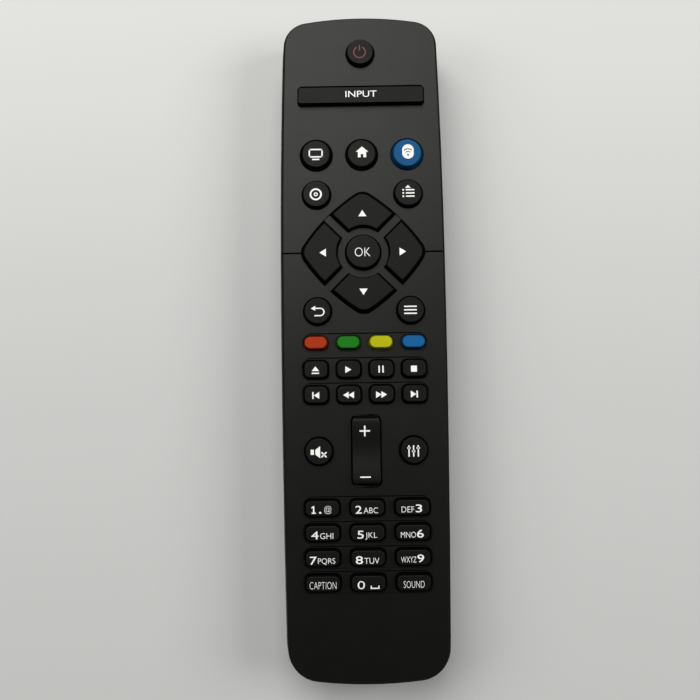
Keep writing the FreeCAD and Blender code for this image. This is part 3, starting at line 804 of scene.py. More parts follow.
def slab_key(width, depth, corner):
    """A slab key at the origin."""
    half_w, half_d = width / 2 + FOOT_LEDGE, depth / 2 + FOOT_LEDGE
    piece = block("slab_model", (-half_w, -half_d, FOOT_LOW), (half_w, half_d, FOOT_TOP))
    bevel(upright, corner + FOOT_LEDGE, 8)
    pick("faces", level(FOOT_TOP))
    inset(FOOT_LEDGE + CAP_GAP)
    return capped(piece, 0, 0, width - 2 * CAP_GAP, depth - 2 * CAP_GAP, FACE + KEY_PROUD,
                  sizes().slab_taper / MM)


class REMOTE_OT_round_keys(Operator):
    """Round keys with a leaning wall and a soft rim"""
    bl_idname = "remote.round_keys"
    bl_label = "Round keys"

    def execute(self, context):
        for key, x, y, bore in ROUND_KEYS:
            taper = sizes().round_taper / MM * (2.0 if bore == SHORTCUT_BORE else 1.0)
            key_fitted(round_key(key, x, y, bore, taper), key)
        return {"FINISHED"}


class REMOTE_OT_slab_keys(Operator):
    """Coloured keys, play keys and number keys"""
    bl_idname = "remote.slab_keys"
    bl_label = "Slab keys"

    def execute(self, context):
        models = {size: slab_key(*size) for size in (COLOUR_SIZE, PLAY_SIZE, NUMBER_SIZE)}
        for size, y, xs, keys in SLAB_ROWS:
            for x, key in zip(xs, keys):
                key_fitted(twin(models[size], key + "_cap", (x, y, 0)), key)
        for model in models.values():
            dropped(model)
        return {"FINISHED"}


def arrow_key(key, x, y):
    """An arrow key: the solid's foot and collar, then walls that lean in towards the hub."""
    piece = copied(key, key + "_cap")
    top = top_of(key)
    pick("faces", level(top))
    shifted(z=COLLAR - top)
    inset(0.1, depth=top - COLLAR)
    scaled(0.915, 0.915, 1, (x * ARROW_HUB, PAD_Y + y * ARROW_HUB, 0))
    bevel(lambda e: above(e, top - 0.01) and sharp(e, 30), 0.22, RIM_STEPS)
    return smooth(piece)


class REMOTE_OT_arrow_keys(Operator):
    """The four arrow keys round the middle key"""
    bl_idname = "remote.arrow_keys"
    bl_label = "Arrow keys"

    def execute(self, context):
        for key, (x, y) in ARROW_KEYS.items():
            key_fitted(arrow_key(key, x, y), key)
        return {"FINISHED"}


class REMOTE_OT_source_key(Operator):
    """The long wedge key: its solid, with a top that draws in and a soft rim"""
    bl_idname = "remote.source_key"
    bl_label = "Wedge key"

    def execute(self, context):
        piece = copied("source_key", "source_key_cap")
        cut_through(COLLAR, Z)
        pick("verts", lambda v: v.co.z > FACE * MM)
        scaled(0.995, 0.975, 1, (0, SOURCE_Y + 2.9, 0))
        bevel(lambda e: above(e, FACE) and sharp(e, 40), 0.16, RIM_STEPS)
        key_fitted(smooth(piece), "source_key")
        return {"FINISHED"}


def rocker_rise(y):
    """Height of the rocker over the face: raised ends and a dished middle."""
    hump, low = 1.7, 0.75
    from_end = ROCKER_HALF_L - abs(y)
    if from_end < hump:
        return 0.5 + math.sqrt(max(0.0, 1 - (1 - from_end / hump) ** 2))
    reach = abs(y) / (ROCKER_HALF_L - hump)
    return low + low * (1 - math.cos(math.pi * reach)) / 2


class REMOTE_OT_volume_rocker(Operator):
    """The volume rocker with its dished middle, on its foot and its pins"""
    bl_idname = "remote.volume_rocker"
    bl_label = "Volume rocker"

    def execute(self, context):
        piece = smooth(joined("volume_rocker_cap", [self.cap(), self.foot(), self.pins()]))
        # The walls and the last 0.6 mm of the head end take the darker wall finish: painted shade.
        end = (ROCKER_Y + ROCKER_HALF_L - 0.6) * MM
        divided(piece, lambda face: face.normal.z < WALL_SLOPE or face.center.y > end)
        fitted(piece, "volume_rocker", "key_black", *KEY_FINISHES["key_black"],
               nodes=("volume_rocker",))
        return {"FINISHED"}

    def cap(self):
        """The cap: a round-cornered block whose top follows the rise in rows."""
        tail, head = ROCKER_Y - ROCKER_HALF_L, ROCKER_Y + ROCKER_HALF_L
        piece = block("volume_rocker_cap", (-ROCKER_HALF_W, tail, ROCKER_LOW + 0.7),
                      (ROCKER_HALF_W, head, FACE + 0.5))
        bevel(upright, 1.85, 8)
        rows = 26
        for row in range(1, rows):
            cut_through(tail + 2 * ROCKER_HALF_L * row / rows, Y)
        pick("verts", lambda v: v.co.z > FACE * MM)
        shape = bmesh.from_edit_mesh(piece.data)
        for vertex in shape.verts:
            if vertex.select:
                vertex.co.z = (FACE + rocker_rise(vertex.co.y / MM - ROCKER_Y)) * MM
                vertex.co.x *= 0.97
        bmesh.update_edit_mesh(piece.data)
        bevel(lambda e: above(e, FACE) and sharp(e, 40), 0.3, 3)
        return piece

    def foot(self):
        """The flange below the opening."""
        half_w = ROCKER_HALF_W + 0.7
        piece = block("rocker_foot", (-half_w, ROCKER_Y - ROCKER_HALF_L, ROCKER_LOW),
                      (half_w, ROCKER_Y + ROCKER_HALF_L, ROCKER_LOW + 0.75))
        bevel(lambda e: True, 0.12, 2)
        return piece

    def pins(self):
        """One pin across the foot, whose ends stand out at both sides."""
        reach = corners("volume_rocker")[1].x
        piece = drum("rocker_pin", 0, 0, 0.7, -reach, reach, 32)
        bevel(lambda e: level(reach)(e) or level(-reach)(e), 0.15, 2)
        rest()
        put(piece.data, (0, ROCKER_Y, ROCKER_PIN_Z), 90, "Y")
        return piece


# The case

# How far the head edge of each sunken strip slopes, and where the steps of the belly end
STRIP_SLOPE, BELLY_TOP = 0.26, 5.1
# The front cover's regions in millimetres: the keys, the fine line, the outer walls
KEYS_REACH, KEYS_TAIL, KEYS_HEAD = 20.5, -78.0, 94.0
LINE_FROM, LINE_HALF = 18.0, 0.24
SIDES_FROM, ENDS_FROM = 22.0, 95.0


def cover_region(face):
    """A face's finish on the front cover: 1, painted shade, on the walls in a recess or the line;
    2 on an outer wall; 0 elsewhere.
    """
    x, y, z = face.center / MM
    in_line = abs(y - PAD_Y) < LINE_HALF and abs(x) > LINE_FROM and z < FACE - 0.05
    by_keys = abs(x) < KEYS_REACH and KEYS_TAIL < y < KEYS_HEAD and z < FACE - 0.005
    # Walls by the keys take painted shade. Edges that face the head keep the satin finish unless
    # they are steep.
    lit_edge = face.area > MM * MM and face.normal.y > 0.1
    if in_line or (by_keys and abs(face.normal.z) < (0.5 if lit_edge else 0.97)):
        return 1
    outer = abs(x) > SIDES_FROM or abs(y) > ENDS_FROM
    return 2 if outer and face.normal.z < 0.93 else 0


class REMOTE_OT_front_cover(Operator):
    """The upper half of the case, with soft rims round its openings"""
    bl_idname = "remote.front_cover"
    bl_label = "Front cover"

    def execute(self, context):
        piece = copied("front_cover", "front_cover_shell")
        # The head edge of each sunken strip is sloped, and the slope takes the painted shade of
        # the recess finish.
        pick("edges", self.strip_head)
        shifted(y=STRIP_SLOPE)
        bevel(lambda e: above(e, FACE - 0.7) and e.is_convex and sharp(e, 20), 0.1, 2)
        divided(smooth(piece), cover_region)
        fitted(piece, "case", "front_case", case_front, recess_painted_shade, case_side,
               nodes=("front_cover",))
        return {"FINISHED"}

    @staticmethod
    def strip_head(edge):
        """Whether an edge is the head edge of a sunken strip. The fine line isn't one."""
        return (level(FACE)(edge) and edge.calc_length() > 15 * MM
                and min(face.normal.y for face in edge.link_faces) < -0.9
                and abs(edge.verts[0].co.y - PAD_Y * MM) > MM)


def lower_shell(node, body):
    """A lower part of the case, with the steps of its belly rounded."""
    piece = copied(node, node + "_shell")
    bevel(lambda e: not above(e, BELLY_TOP) and span(e, Z) < 0.01
          and e.is_convex and sharp(e, 12) and not sharp(e, 40), 0.3, 2)
    fitted(smooth(piece, 25.0), body, "rear_case", case_rear, nodes=(node,))


class REMOTE_OT_rear_cover(Operator):
    """The lower half of the case"""
    bl_idname = "remote.rear_cover"
    bl_label = "Rear cover"

    def execute(self, context):
        lower_shell("rear_cover", "case")
        return {"FINISHED"}


class REMOTE_OT_battery_door(Operator):
    """The sliding battery door"""
    bl_idname = "remote.battery_door"
    bl_label = "Battery door"

    def execute(self, context):
        lower_shell("battery_door", "battery_door")
        return {"FINISHED"}


class REMOTE_OT_infrared_window(Operator):
    """The dark window in the head wall"""
    bl_idname = "remote.infrared_window"
    bl_label = "Infrared window"

    def execute(self, context):
        paint("infrared_window", window_dark)
        return {"FINISHED"}


# What lies inside

def key_places():
    """Every key and its middle, where its dome is too."""
    places = [key[:3] for key in ROUND_KEYS]
    for _, y, xs, keys in SLAB_ROWS:
        places += [(key, x, y) for key, x in zip(keys, xs)]
    for key, (x, y) in ARROW_KEYS.items():
        places.append((key, x * ARROW_MIDDLE, PAD_Y + y * ARROW_MIDDLE))
    return [*places, ("source_key", 0.0, SOURCE_Y)]


def dome(name, x, y, under, joint):
    """A dome of the mat: a round base, a leaning skirt and a flat head. The joint is not used."""
    base, top = MAT_TOP + 0.15, under - 0.05
    piece = drum(name, x, y, 2.35, MAT_TOP - 0.1, base, 32)
    pick("faces", level(base))
    raised(x, y, (4.7, 4.7, base), [
        (3.6, 3.6, top - 0.45), (3.2, 3.2, top - 0.1), (3.0, 3.0, top)])
    fitted(smooth(piece, 40.0), "case", "mat", silicone, nodes=("rubber_mat",))
    x * MM
    y * MM
    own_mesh(piece)


class REMOTE_OT_rubber_mat(Operator):
    """The rubber mat: a thin web, with a dome under every key"""
    bl_idname = "remote.rubber_mat"
    bl_label = "Rubber mat"

    def execute(self, context):
        low, high = corners("rubber_mat")
        web = block("rubber_mat_web", (low.x, low.y, BOARD_TOP), (high.x, high.y, MAT_TOP))
        bevel(upright, 2.0, 6)
        bevel(level(MAT_TOP), 0.15, 2)
        fitted(smooth(web), "case", "mat", silicone, nodes=("rubber_mat",))
        for key, x, y in key_places():
            dome(key + "_dome", x, y, FOOT_LOW, key + "_press")
        for end, side in (("head", 1), ("tail", -1)):
            dome(f"volume_rocker_{end}_dome", 0.0, ROCKER_Y + side * ROCKER_DOME_Y,
                 ROCKER_DOME_TOP, "volume_rocker_tilt")
        return {"FINISHED"}


class REMOTE_OT_board(Operator):
    """The circuit board's solder mask, with traces and tinned dots"""
    bl_idname = "remote.board"
    bl_label = "Circuit board"

    def execute(self, context):
        paint("circuit_board", board_mask)
        return {"FINISHED"}


def lathed(name, rings, sides=64):
    """A turned shape along Z from rings of (radius, height), with flat ends."""
    (radius, low), (second, high) = rings[:2]
    piece = drum(name, 0, 0, radius, low, high, sides)
    pick("faces", level(high))
    scaled(second / radius, second / radius, 1, (0, 0, high))
    raised(0, 0, (second, second, high), [(r, r, z) for r, z in rings[2:]])
    rest()
    return piece


# The cells lie side by side, head to tail: the middle, the turn that lays a shape along +Y or
# -Y, the places of the flat end and of the spring's foot, and the copper band
CELLS = {
    "left": (-5.6, -90, -74.7, -79.2, (-43.0, -30.0)),
    "right": (5.6, 90, -34.7, -30.2, (-80.0, -66.4)),
}
CELL_XS = [cell[0] for cell in CELLS.values()]
CELL_RINGS = [
    (3.7, 0.0), (3.95, 0.12), (4.05, 0.3), (4.5, 0.3), (4.75, 0.1), (5.05, 0.16), (5.25, 0.5),
    (5.25, 43.2), (5.1, 43.55), (4.75, 43.7), (4.4, 43.6), (4.3, 43.3), (3.3, 43.3),
    (3.2, 43.6), (2.3, 43.7), (1.95, 43.8), (1.9, 44.3), (1.7, 44.5),
]


def near_axis(x, z, radius):
    """A test: a face whose middle lies within a radius of an axis along Y."""
    return lambda face: math.hypot(face.center.x / MM - x, face.center.z / MM - z) < radius


class REMOTE_OT_cells(Operator):
    """The two cells: a steel can in a printed jacket that is folded over its ends"""
    bl_idname = "remote.cells"
    bl_label = "Cells"

    def execute(self, context):
        model = smooth(lathed("cell_model", CELL_RINGS), 50.0)
        for side, (x, turn, flat_end, _, band) in CELLS.items():
            piece = twin(model, f"battery_{side}_can", (x, flat_end, CELL_Z), turn)
            divided(piece, near_axis(x, CELL_Z, 4.35))
            fitted(piece, "case", "cell", partial(jacket, f"cell_{side}_jacket", *band),
                   cell_metal, nodes=(f"battery_{side}",))
        dropped(model)
        return {"FINISHED"}


def wound(name, sides, radius, x, z, roll, pitch, turns, steps):
    """A small round section at (x, z), screwed upwards round Z."""
    rest()
    bpy.ops.mesh.primitive_circle_add(
        vertices=sides, radius=radius * MM, fill_type="NOTHING",
        location=mm(x, 0, z), rotation=(math.pi / 2, math.radians(roll), 0))
    piece = settled(name)
    applied(piece, "SCREW", axis="Z", angle=math.tau, screw_offset=pitch * MM,
            iterations=turns, steps=steps, render_steps=steps)
    return piece


def coil(name, wire, wide, narrow, length, turns):
    """A spring along Z: round wire in a screw that narrows, with a closed turn at both ends."""
    sides, steps = 10, 28
    piece = wound(name, sides, wire / 2, wide - wire / 2, wire / 2, 0, wire, turns, steps)
    spare = length - wire * (turns + 1)
    for index, vertex in enumerate(piece.data.vertices):
        turn = (index // sides) / steps
        share = min(1.0, max(0.0, (turn - 0.8) / (turns - 1.6)))
        across = math.hypot(vertex.co.x, vertex.co.y)
        inward = (across - (wide - narrow) * share * MM) / across
        vertex.co.x *= inward
        vertex.co.y *= inward
        vertex.co.z += spare * share * MM
    return smooth(closed(piece), 60.0)


def plate(low, high, corner):
    """A thin plate that stands across Y, with round corners and eased edges."""
    piece = block("contact_plate", low, high)
    bevel(lambda e: span(e, Y) > 0.1, corner, 6)
    bevel(lambda e: span(e, Y) < 0.01, 0.05, 2)
    return piece


def bead(x, y, radius):
    """A pressed ring that stands out of a plate."""
    rest()
    bpy.ops.mesh.primitive_torus_add(
        major_segments=48, minor_segments=12, major_radius=radius * MM, minor_radius=0.28 * MM,
        location=mm(x, y, CELL_Z), rotation=(math.pi / 2, 0, 0))
    piece = settled("contact_bead")
    everything()
    scaled(1, 0.6, 1, (x, y, CELL_Z))
    return piece


class REMOTE_OT_contacts(Operator):
    """The springs and the pressed plates of the battery bay"""
    bl_idname = "remote.contacts"
    bl_label = "Contacts"

    def execute(self, context):
        model = coil("spring_model", 0.5, 3.0, 2.2, 4.5, 5)
        springs = [twin(model, "spring", (x, foot, CELL_Z), turn)
                   for x, turn, _, foot, _ in CELLS.values()]
        dropped(model)
        fitted(joined("battery_spring_coils", springs), "case", "contact", spring_wire,
               nodes=("battery_springs",))
        low, high = corners("contact_bridge")
        self.pressed("contact_bridge_plate", "contact_bridge", [
            plate(low, high, 1.2), *(bead(x, high.y, 3.6) for x in CELL_XS)])
        low, high = corners("contact_tabs")
        parts = []
        for x in CELL_XS:
            parts.append(plate((x - 4.0, low.y, low.z), (x + 4.0, high.y, high.z), 1.0))
            parts.append(bead(x, low.y, 3.5))
        self.pressed("contact_tab_plates", "contact_tabs", parts)
        return {"FINISHED"}

    def pressed(self, name, node, parts):
        """Plates and their beads as one piece of nickel."""
        fitted(smooth(joined(name, parts)), "case", "contact", nickel, nodes=(node,))


def lead(name, x, y, z, wire, back, up):
    """A square lead with soft edges that leaves a part towards the tail and bends up."""
    half, bend = wire / 2, y - back + wire
    piece = block(name, (x - half, y - back, z - half), (x + half, y, z + half))
    cut_through(bend, Y)
    pick("faces", lambda f: f.normal.z > 0.9 and f.calc_center_median().y < bend * MM)
    extruded(z=up - half)
    bevel(lambda e: sharp(e, 40), wire * 0.2, 2)
    return piece


def on_leads(name, rings, x, y, z, apart, wire, back, up):
    """A turned part that lies along Y, with two leads that start inside it."""
    model = lathed(name + "_model", rings, 48)
    body = twin(model, name + "_body", (x, y, z), -90)
    dropped(model)
    leads = [lead(name + "_lead", side, y + 0.2, z, wire, back, up)
             for side in (x - apart, x + apart)]
    return smooth(joined(name, [body, *leads]), 40.0)


class REMOTE_OT_board_parts(Operator):
    """The lamp, the chip, the resonator and the capacitor"""
    bl_idname = "remote.board_parts"
    bl_label = "Board parts"

    def execute(self, context):
        self.lamp()
        self.chip()
        self.resonator()
        self.capacitor()
        return {"FINISHED"}

    def lamp(self):
        """A clear lamp with a rim, a round nose and two bent leads."""
        y, radius = 89.7, 2.5
        nose = [(radius * math.cos(t), 5.5 + radius * math.sin(t))
                for t in (0.0, 0.35, 0.7, 1.0, 1.25, 1.45)]
        rings = [(2.85, 0.0), (2.95, 0.1), (2.95, 0.9), (2.85, 1.0), (2.5, 1.02), *nose]
        piece = on_leads("infrared_lamp_lens", rings, 0.0, y, 10.4, 1.27, 0.5, 2.95, 2.95)
        divided(piece, lambda face: face.center.y < (y - 0.01) * MM)
        fitted(piece, "case", "lamp", lamp_resin, tin, nodes=("infrared_lamp",))

    def capacitor(self):
        """A sleeved can that lies down, with a crimp, a scored end and two leads."""
        x, y, z = 9.0, 69.6, 10.8
        rings = [(2.1, 0.0), (2.45, 0.1), (2.5, 0.35), (2.5, 0.9), (2.3, 1.15), (2.3, 1.35),
                 (2.5, 1.6), (2.5, 6.6), (2.4, 6.9), (2.15, 7.0), (1.9, 6.95), (1.85, 6.85)]
        piece = on_leads("capacitor_can", rings, x, y, z, 1.0, 0.45, 1.4, 2.55)
        bare_end = near_axis(x, z, 2.0)
        divided(piece, lambda face: face.center.y < (y - 0.01) * MM or bare_end(face))
        fitted(piece, "case", "capacitor", sleeve, tin, nodes=("capacitor",))

    def chip(self):
        """A flat package with drafted walls, a pin mark and twelve bent legs."""
        x, y, low, high, middle = -7.0, 58.6, 11.7, 13.25, 12.6
        half_l, half_w, pitch = 5, 3, 1.5
        body = block("chip_body", (x - half_l, y - half_w, low), (x + half_l, y + half_w, high))
        cut_through(middle, Z)
        pick("verts", lambda v: abs(v.co.z - middle * MM) > 0.1 * MM)
        scaled(0.985, 0.97, 1, (x, y, 0))
        pick("faces", level(low))
        inset(0.25)
        bevel(lambda e: sharp(e, 20), 0.08, 2)
        carved(body, drum("chip_mark", x - 4.0, y - 2.0, 0.4, low - 0.15, low + 0.15, 24))
        leg = self.leg()
        legs = [twin(leg, "chip_leg", (x + (step - 2.5) * pitch, y, 0.0), side, "Z")
                for step in range(6) for side in (0, 180)]
        dropped(leg)
        piece = smooth(joined("controller_chip_package", [body, *legs]))
        divided(piece, lambda face: abs(face.center.y / MM - y) > half_w)
        fitted(piece, "case", "chip", chip_resin, tin, nodes=("controller_chip",))

    def leg(self):
        """One leg that steps up from the package to the board."""
        piece = block("chip_leg_model", (-0.22, 2.9, 12.55), (0.22, 3.3, 12.72))
        pick("faces", lambda f: f.normal.y > 0.9)
        for out, up in ((0.12, 0.45), (0.08, 0.13), (0.42, 0.02)):
            extruded(y=out, z=up)
        bevel(lambda e: span(e, X) < 0.01 and sharp(e, 60), 0.03, 1)
        rest()
        return piece

    def resonator(self):
        """A drawn metal can with round ends on a flange."""
        low, high = corners("resonator")
        flange = high.z - 0.4
        piece = block("resonator_can", low, high)
        bevel(upright, (high.y - low.y) / 2 - 0.02, 12)
        pick("faces", lambda f: f.normal.z < -0.9)
        shifted(z=flange - low.z)
        inset(0.3)
        extruded(z=low.z - flange)
        bevel(level(low.z), 0.35, 4)
        bevel(lambda e: level(flange)(e) and e.is_convex and sharp(e, 40), 0.1, 2)
        fitted(smooth(piece), "case", "can", can_metal, nodes=("resonator",))


class REMOTE_OT_case_screws(Operator):
    """The two case screws: a cross recess, a round head and a thread"""
    bl_idname = "remote.case_screws"
    bl_label = "Case screws"

    def execute(self, context):
        rings = [(1.25, 5.7), (1.5, 5.78), (1.65, 5.95), (1.7, 6.2), (1.7, 6.8), (1.62, 6.9),
                 (0.68, 6.92), (0.68, 13.1), (0.45, 13.6), (0.2, 13.9)]
        piece = lathed("screw_model", rings, 48)
        depth = 6.45
        for turn in (20, 110):
            blade = block("screw_blade", (-0.8, -0.17, 5.4), (0.8, 0.17, depth))
            pick("faces", level(depth))
            scaled(0.5, 0.6, 1, (0, 0, depth))
            rest()
            put(blade.data, (0, 0, 0), turn, "Z")
            carved(piece, blade)
        piece = smooth(joined("screw_model", [piece, self.thread()]), 35.0)
        pair = [twin(piece, "screw", (x, -84.0, 0)) for x in (-18.6, 18.6)]
        dropped(piece)
        fitted(joined("case_screw_pair", pair), "case", "screw", screw_steel,
               nodes=("case_screws",))
        return {"FINISHED"}

    def thread(self):
        """A ridge wound round the shank, with a narrow flat crest."""
        ridge = wound("screw_thread", 3, 0.2, 0.69, 7.3, 90, 0.62, 9, 24)
        for vertex in ridge.data.vertices:
            share = min(1.0, 0.8 * MM / math.hypot(vertex.co.x, vertex.co.y))
            vertex.co.x *= share
            vertex.co.y *= share
        return closed(ridge)


# The printed signs, drawn flat in millimetres round the middle of a key.
# An outline is a list of points. A group is filled as one, so its inner outlines are holes.

def turned(outline, degrees, x, y):
    """An outline turned about the origin and then moved."""
    c, s = math.cos(math.radians(degrees)), math.sin(math.radians(degrees))
    return [(x + c * px - s * py, y + s * px + c * py) for px, py in outline]


def bar(x, y, width, height, turn=0):
    """A rectangle round its middle."""
    w, h = width / 2, height / 2
    return turned([(-w, -h), (w, -h), (w, h), (-w, h)], turn, x, y)


def pointer(x, y, width, height, turn=0):
    """A triangle round its middle that points right before its turn."""
    w, h = width / 2, height / 2
    return turned([(-w, -h), (w, 0), (-w, h)], turn, x, y)


def arc(x, y, inner, outer, start, end):
    """A bent bar between two angles, or a full ring as two outlines."""
    count = 40
    turns = [math.radians(start + (end - start) * n / count) for n in range(count + 1)]
    rims = [[(x + r * math.cos(t), y + r * math.sin(t)) for t in turns] for r in (outer, inner)]
    if end - start >= 360:
        return [rim[:-1] for rim in rims]
    return [rims[0] + rims[1][::-1]]


def badge():
    """An upright badge: two half rounds with short straight sides."""
    turns = [math.tau * step / 48 for step in range(48)]
    return [(1.75 * math.cos(t), (0.55 if math.sin(t) > 0 else -0.55) + 1.7 * math.sin(t))
            for t in turns]


def apart(*outlines):
    """Outlines that overlap, each in a group of its own."""
    return [[outline] for outline in outlines]


def mirrored(groups):
    """The same groups, left to right."""
    return [[[(-x, y) for x, y in outline] for outline in group] for group in groups]


NEXT = apart(pointer(-0.28, 0, 1.6, 2.05), bar(0.78, 0, 0.42, 2.05))
FORWARD = apart(pointer(-0.78, 0, 1.66, 2.0), pointer(0.78, 0, 1.66, 2.0))
SIGNS = {
    "power_key": apart(*arc(0, 0, 1.62, 1.95, 118, 422), bar(0, 1.35, 0.33, 1.75)),
    "tv_key": apart(
        bar(0, 1.35, 4.3, 0.42), bar(0, -0.95, 4.3, 0.42), bar(-1.94, 0.2, 0.42, 2.7),
        bar(1.94, 0.2, 0.42, 2.7), bar(0, -1.75, 2.2, 0.42)),
    "home_key": apart([
        (-1.25, 0.1), (-1.25, -1.65), (-0.42, -1.65), (-0.42, -0.65), (0.42, -0.65),
        (0.42, -1.65), (1.25, -1.65), (1.25, 0.1), (1.9, 0.1), (0.0, 1.75), (-1.9, 0.1)]),
    "wireless_key": [[
        badge(), *arc(0, -1.0, 0.0, 0.32, 0, 360)[:1],
        *arc(0, -1.0, 0.85, 1.15, 45, 135), *arc(0, -1.0, 1.65, 1.98, 48, 132)]],
    "disc_menu_key": [[*arc(0, 0, 1.35, 1.85, 0, 360), *arc(0, 0, 0.28, 0.62, 0, 360)]],
    "top_menu_key": apart(
        *(bar(0.65, y, 2.6, 0.42) for y in (-1.2, -0.2, 0.8)),
        *(bar(-1.45, y, 0.5, 0.5) for y in (-1.2, -0.2, 0.8)),
        pointer(0.0, 1.85, 0.9, 1.7, 90)),
    "back_key": apart(
        *arc(0.7, 0.0, 0.91, 1.29, -90, 90), bar(-0.05, 1.1, 1.6, 0.37),
        bar(-0.15, -1.1, 1.85, 0.37), pointer(-1.45, 1.1, 1.3, 1.5, 180)),
    "options_key": apart(*(bar(0, y, 3.8, 0.4) for y in (1.05, 0.0, -1.05))),
    "eject_key": apart(pointer(0, 0.4, 1.4, 2.2, 90), bar(0, -0.95, 2.2, 0.36)),
    "play_key": apart(pointer(0.05, 0, 1.8, 2.05)),
    "pause_key": apart(bar(-0.57, 0, 0.42, 2.1), bar(0.57, 0, 0.42, 2.1)),
    "stop_key": apart(bar(0, 0, 1.78, 1.82)),
    "previous_key": mirrored(NEXT),
    "rewind_key": mirrored(FORWARD),
    "forward_key": FORWARD,
    "next_key": NEXT,
    "mute_key": apart(
        [(-0.85, -0.7), (0.55, -1.75), (0.55, 1.75), (-0.85, 0.7)], bar(-1.75, 0, 0.95, 1.5),
        bar(1.65, -0.75, 2.1, 0.42, 45), bar(1.65, -0.75, 2.1, 0.42, -45)),
    "equaliser_key": apart(*(
        shape for x, y in ((-1.35, 0.85), (0.0, -0.1), (1.35, 0.85))
        for shape in (bar(x, 0, 0.38, 3.3), bar(x, y, 0.95, 0.5)))),
}

# The rocker's signs and how far they sit from its middle. The plus is one outline.
LONG, THIN = 1.55, 0.22
ROCKER_SIGNS = {
    "plus": ([
        (-LONG, -THIN), (-THIN, -THIN), (-THIN, -LONG), (THIN, -LONG), (THIN, -THIN),
        (LONG, -THIN), (LONG, THIN), (THIN, THIN), (THIN, LONG), (-THIN, LONG), (-THIN, THIN),
        (-LONG, THIN)], 5.8),
    "minus": (bar(0, 0, 3.1, 0.38), -7.6),
}

# Arrow signs: place on the pad and turn
ARROW_SIGNS = {
    "arrow_up_key": (0, 12.0, 90), "arrow_right_key": (12.0, 0, 0),
    "arrow_down_key": (0, -12.1, -90), "arrow_left_key": (-12.1, 0, 180),
}

# Where a sign sits on its key, if not at the usual place
USUAL_NUDGE = (-0.15, -0.2)
NUDGES = {
    "home_key": (0.1, 0.35), "wireless_key": (0.2, 0.3), "back_key": (0.15, -0.35),
    "options_key": (-0.15, -0.1), "top_menu_key": (-0.1, 0.0), "tv_key": (-0.1, 0.0),
}

# Words: text, place on the key, width, height and weight. Two weights are used often.
BOLD, FINE = 0.012, -0.025
WORDS = {
    "ok_key": [("OK", -0.2, -0.2, 4.7, 2.7, -0.035)],
    "number_1_key": [(".", -0.6, -1.2, 0.65, 0.6, 0.0), ("@", 1.6, -0.4, 2.1, 2.3, -0.03)],
    "number_2_key": [("2", -2.55, -0.45, 1.85, 2.25, BOLD), ("ABC", 1.0, -0.7, 4.2, 1.65, FINE)],
    "number_3_key": [("DEF", -1.35, -0.55, 3.7, 1.65, FINE), ("3", 1.85, -0.3, 1.85, 2.25, BOLD)],
    "number_4_key": [("4", -2.2, -0.45, 2.1, 2.25, BOLD), ("GHI", 1.2, -0.7, 3.8, 1.65, FINE)],
    "number_5_key": [("5", -2.1, -0.45, 1.85, 2.25, BOLD), ("JKL", 1.0, -0.85, 3.4, 2.05, FINE)],
    "number_6_key": [("MNO", -1.35, -0.65, 4.35, 1.65, FINE), ("6", 2.1, -0.35, 1.95, 2.3, BOLD)],
    "number_7_key": [("7", -2.75, -0.5, 2.0, 2.25, BOLD), ("PQRS", 1.1, -0.78, 5.0, 1.85, FINE)],
    "number_8_key": [("8", -2.55, -0.5, 2.1, 2.25, BOLD), ("TUV", 1.05, -0.75, 4.3, 1.65, FINE)],
    "number_9_key": [("WXYZ", -1.4, -0.55, 4.4, 1.65, FINE), ("9", 2.05, -0.25, 1.95, 2.25, BOLD)],
    "caption_key": [("CAPTION", 0.0, -0.4, 7.7, 2.0, -0.05)],
    "number_0_key": [("0", -2.1, -0.4, 2.1, 2.25, -0.015)],
    "sound_key": [("SOUND", 0.0, -0.4, 6.0, 1.9, -0.045)],
    "source_key": [("INPUT", 0.1, 0.3, 9.6, 2.25, 0.0)],
}

# Outlines beside those words, with their places: a one with a flag and a foot, and a space
DRAWN_WORDS = {
    "number_1_key": ([
        (-0.6, -1.1), (0.6, -1.1), (0.6, -0.75), (0.2, -0.75), (0.2, 1.1), (-0.15, 1.1),
        (-0.65, 0.75), (-0.65, 0.4), (-0.2, 0.6), (-0.2, -0.75), (-0.6, -0.75)], -2.5, -0.35),
    "number_0_key": ([
        (-1.28, 0.4), (-1.28, -0.5), (1.28, -0.5), (1.28, 0.4), (0.94, 0.4), (0.94, -0.19),
        (-0.94, -0.19), (-0.94, 0.4)], 1.85, -1.0),
}


def drawn(name, groups):
    """Groups of outlines filled and given a little thickness, as a mesh at the origin."""
    pieces = []
    for group in groups:
        curve = bpy.data.curves.new(name, "CURVE")
        curve.dimensions = "2D"
        curve.fill_mode = "BOTH"
        curve.extrude = sizes().print_height
        for outline in group:
            line = curve.splines.new("POLY")
            line.points.add(len(outline) - 1)
            for point, (x, y) in zip(line.points, outline):
                point.co = (x * MM, y * MM, 0, 1)
            line.use_cyclic_u = True
        pieces.append(shown(name, curve))
    take(*pieces)
    bpy.ops.object.convert(target="MESH")
    return closed(joined(name, pieces))


def lettered(name, text, x, y, width, height, weight):
    """Words as a mesh, fitted into a box round x and y."""
    rest()
    bpy.ops.object.text_add(location=(0, 0, 0))
    words = bpy.context.object.data
    words.body = text
    words.size = 2.5 * MM
    words.offset = weight * MM
    words.resolution_u = 4
    words.extrude = sizes().print_height
    bpy.ops.object.convert(target="MESH")
    piece = bpy.context.object
    piece.name = name
    xs, ys = ([v.co[axis] for v in piece.data.vertices] for axis in (X, Y))
    centre = Matrix.Translation((-(max(xs) + min(xs)) / 2, -(max(ys) + min(ys)) / 2, 0))
    fit = Matrix.Diagonal((
        width * MM / (max(xs) - min(xs)), height * MM / (max(ys) - min(ys)), 1, 1))
    piece.data.transform(Matrix.Translation(mm(x, y, 0)) @ fit @ centre)
    return closed(piece)


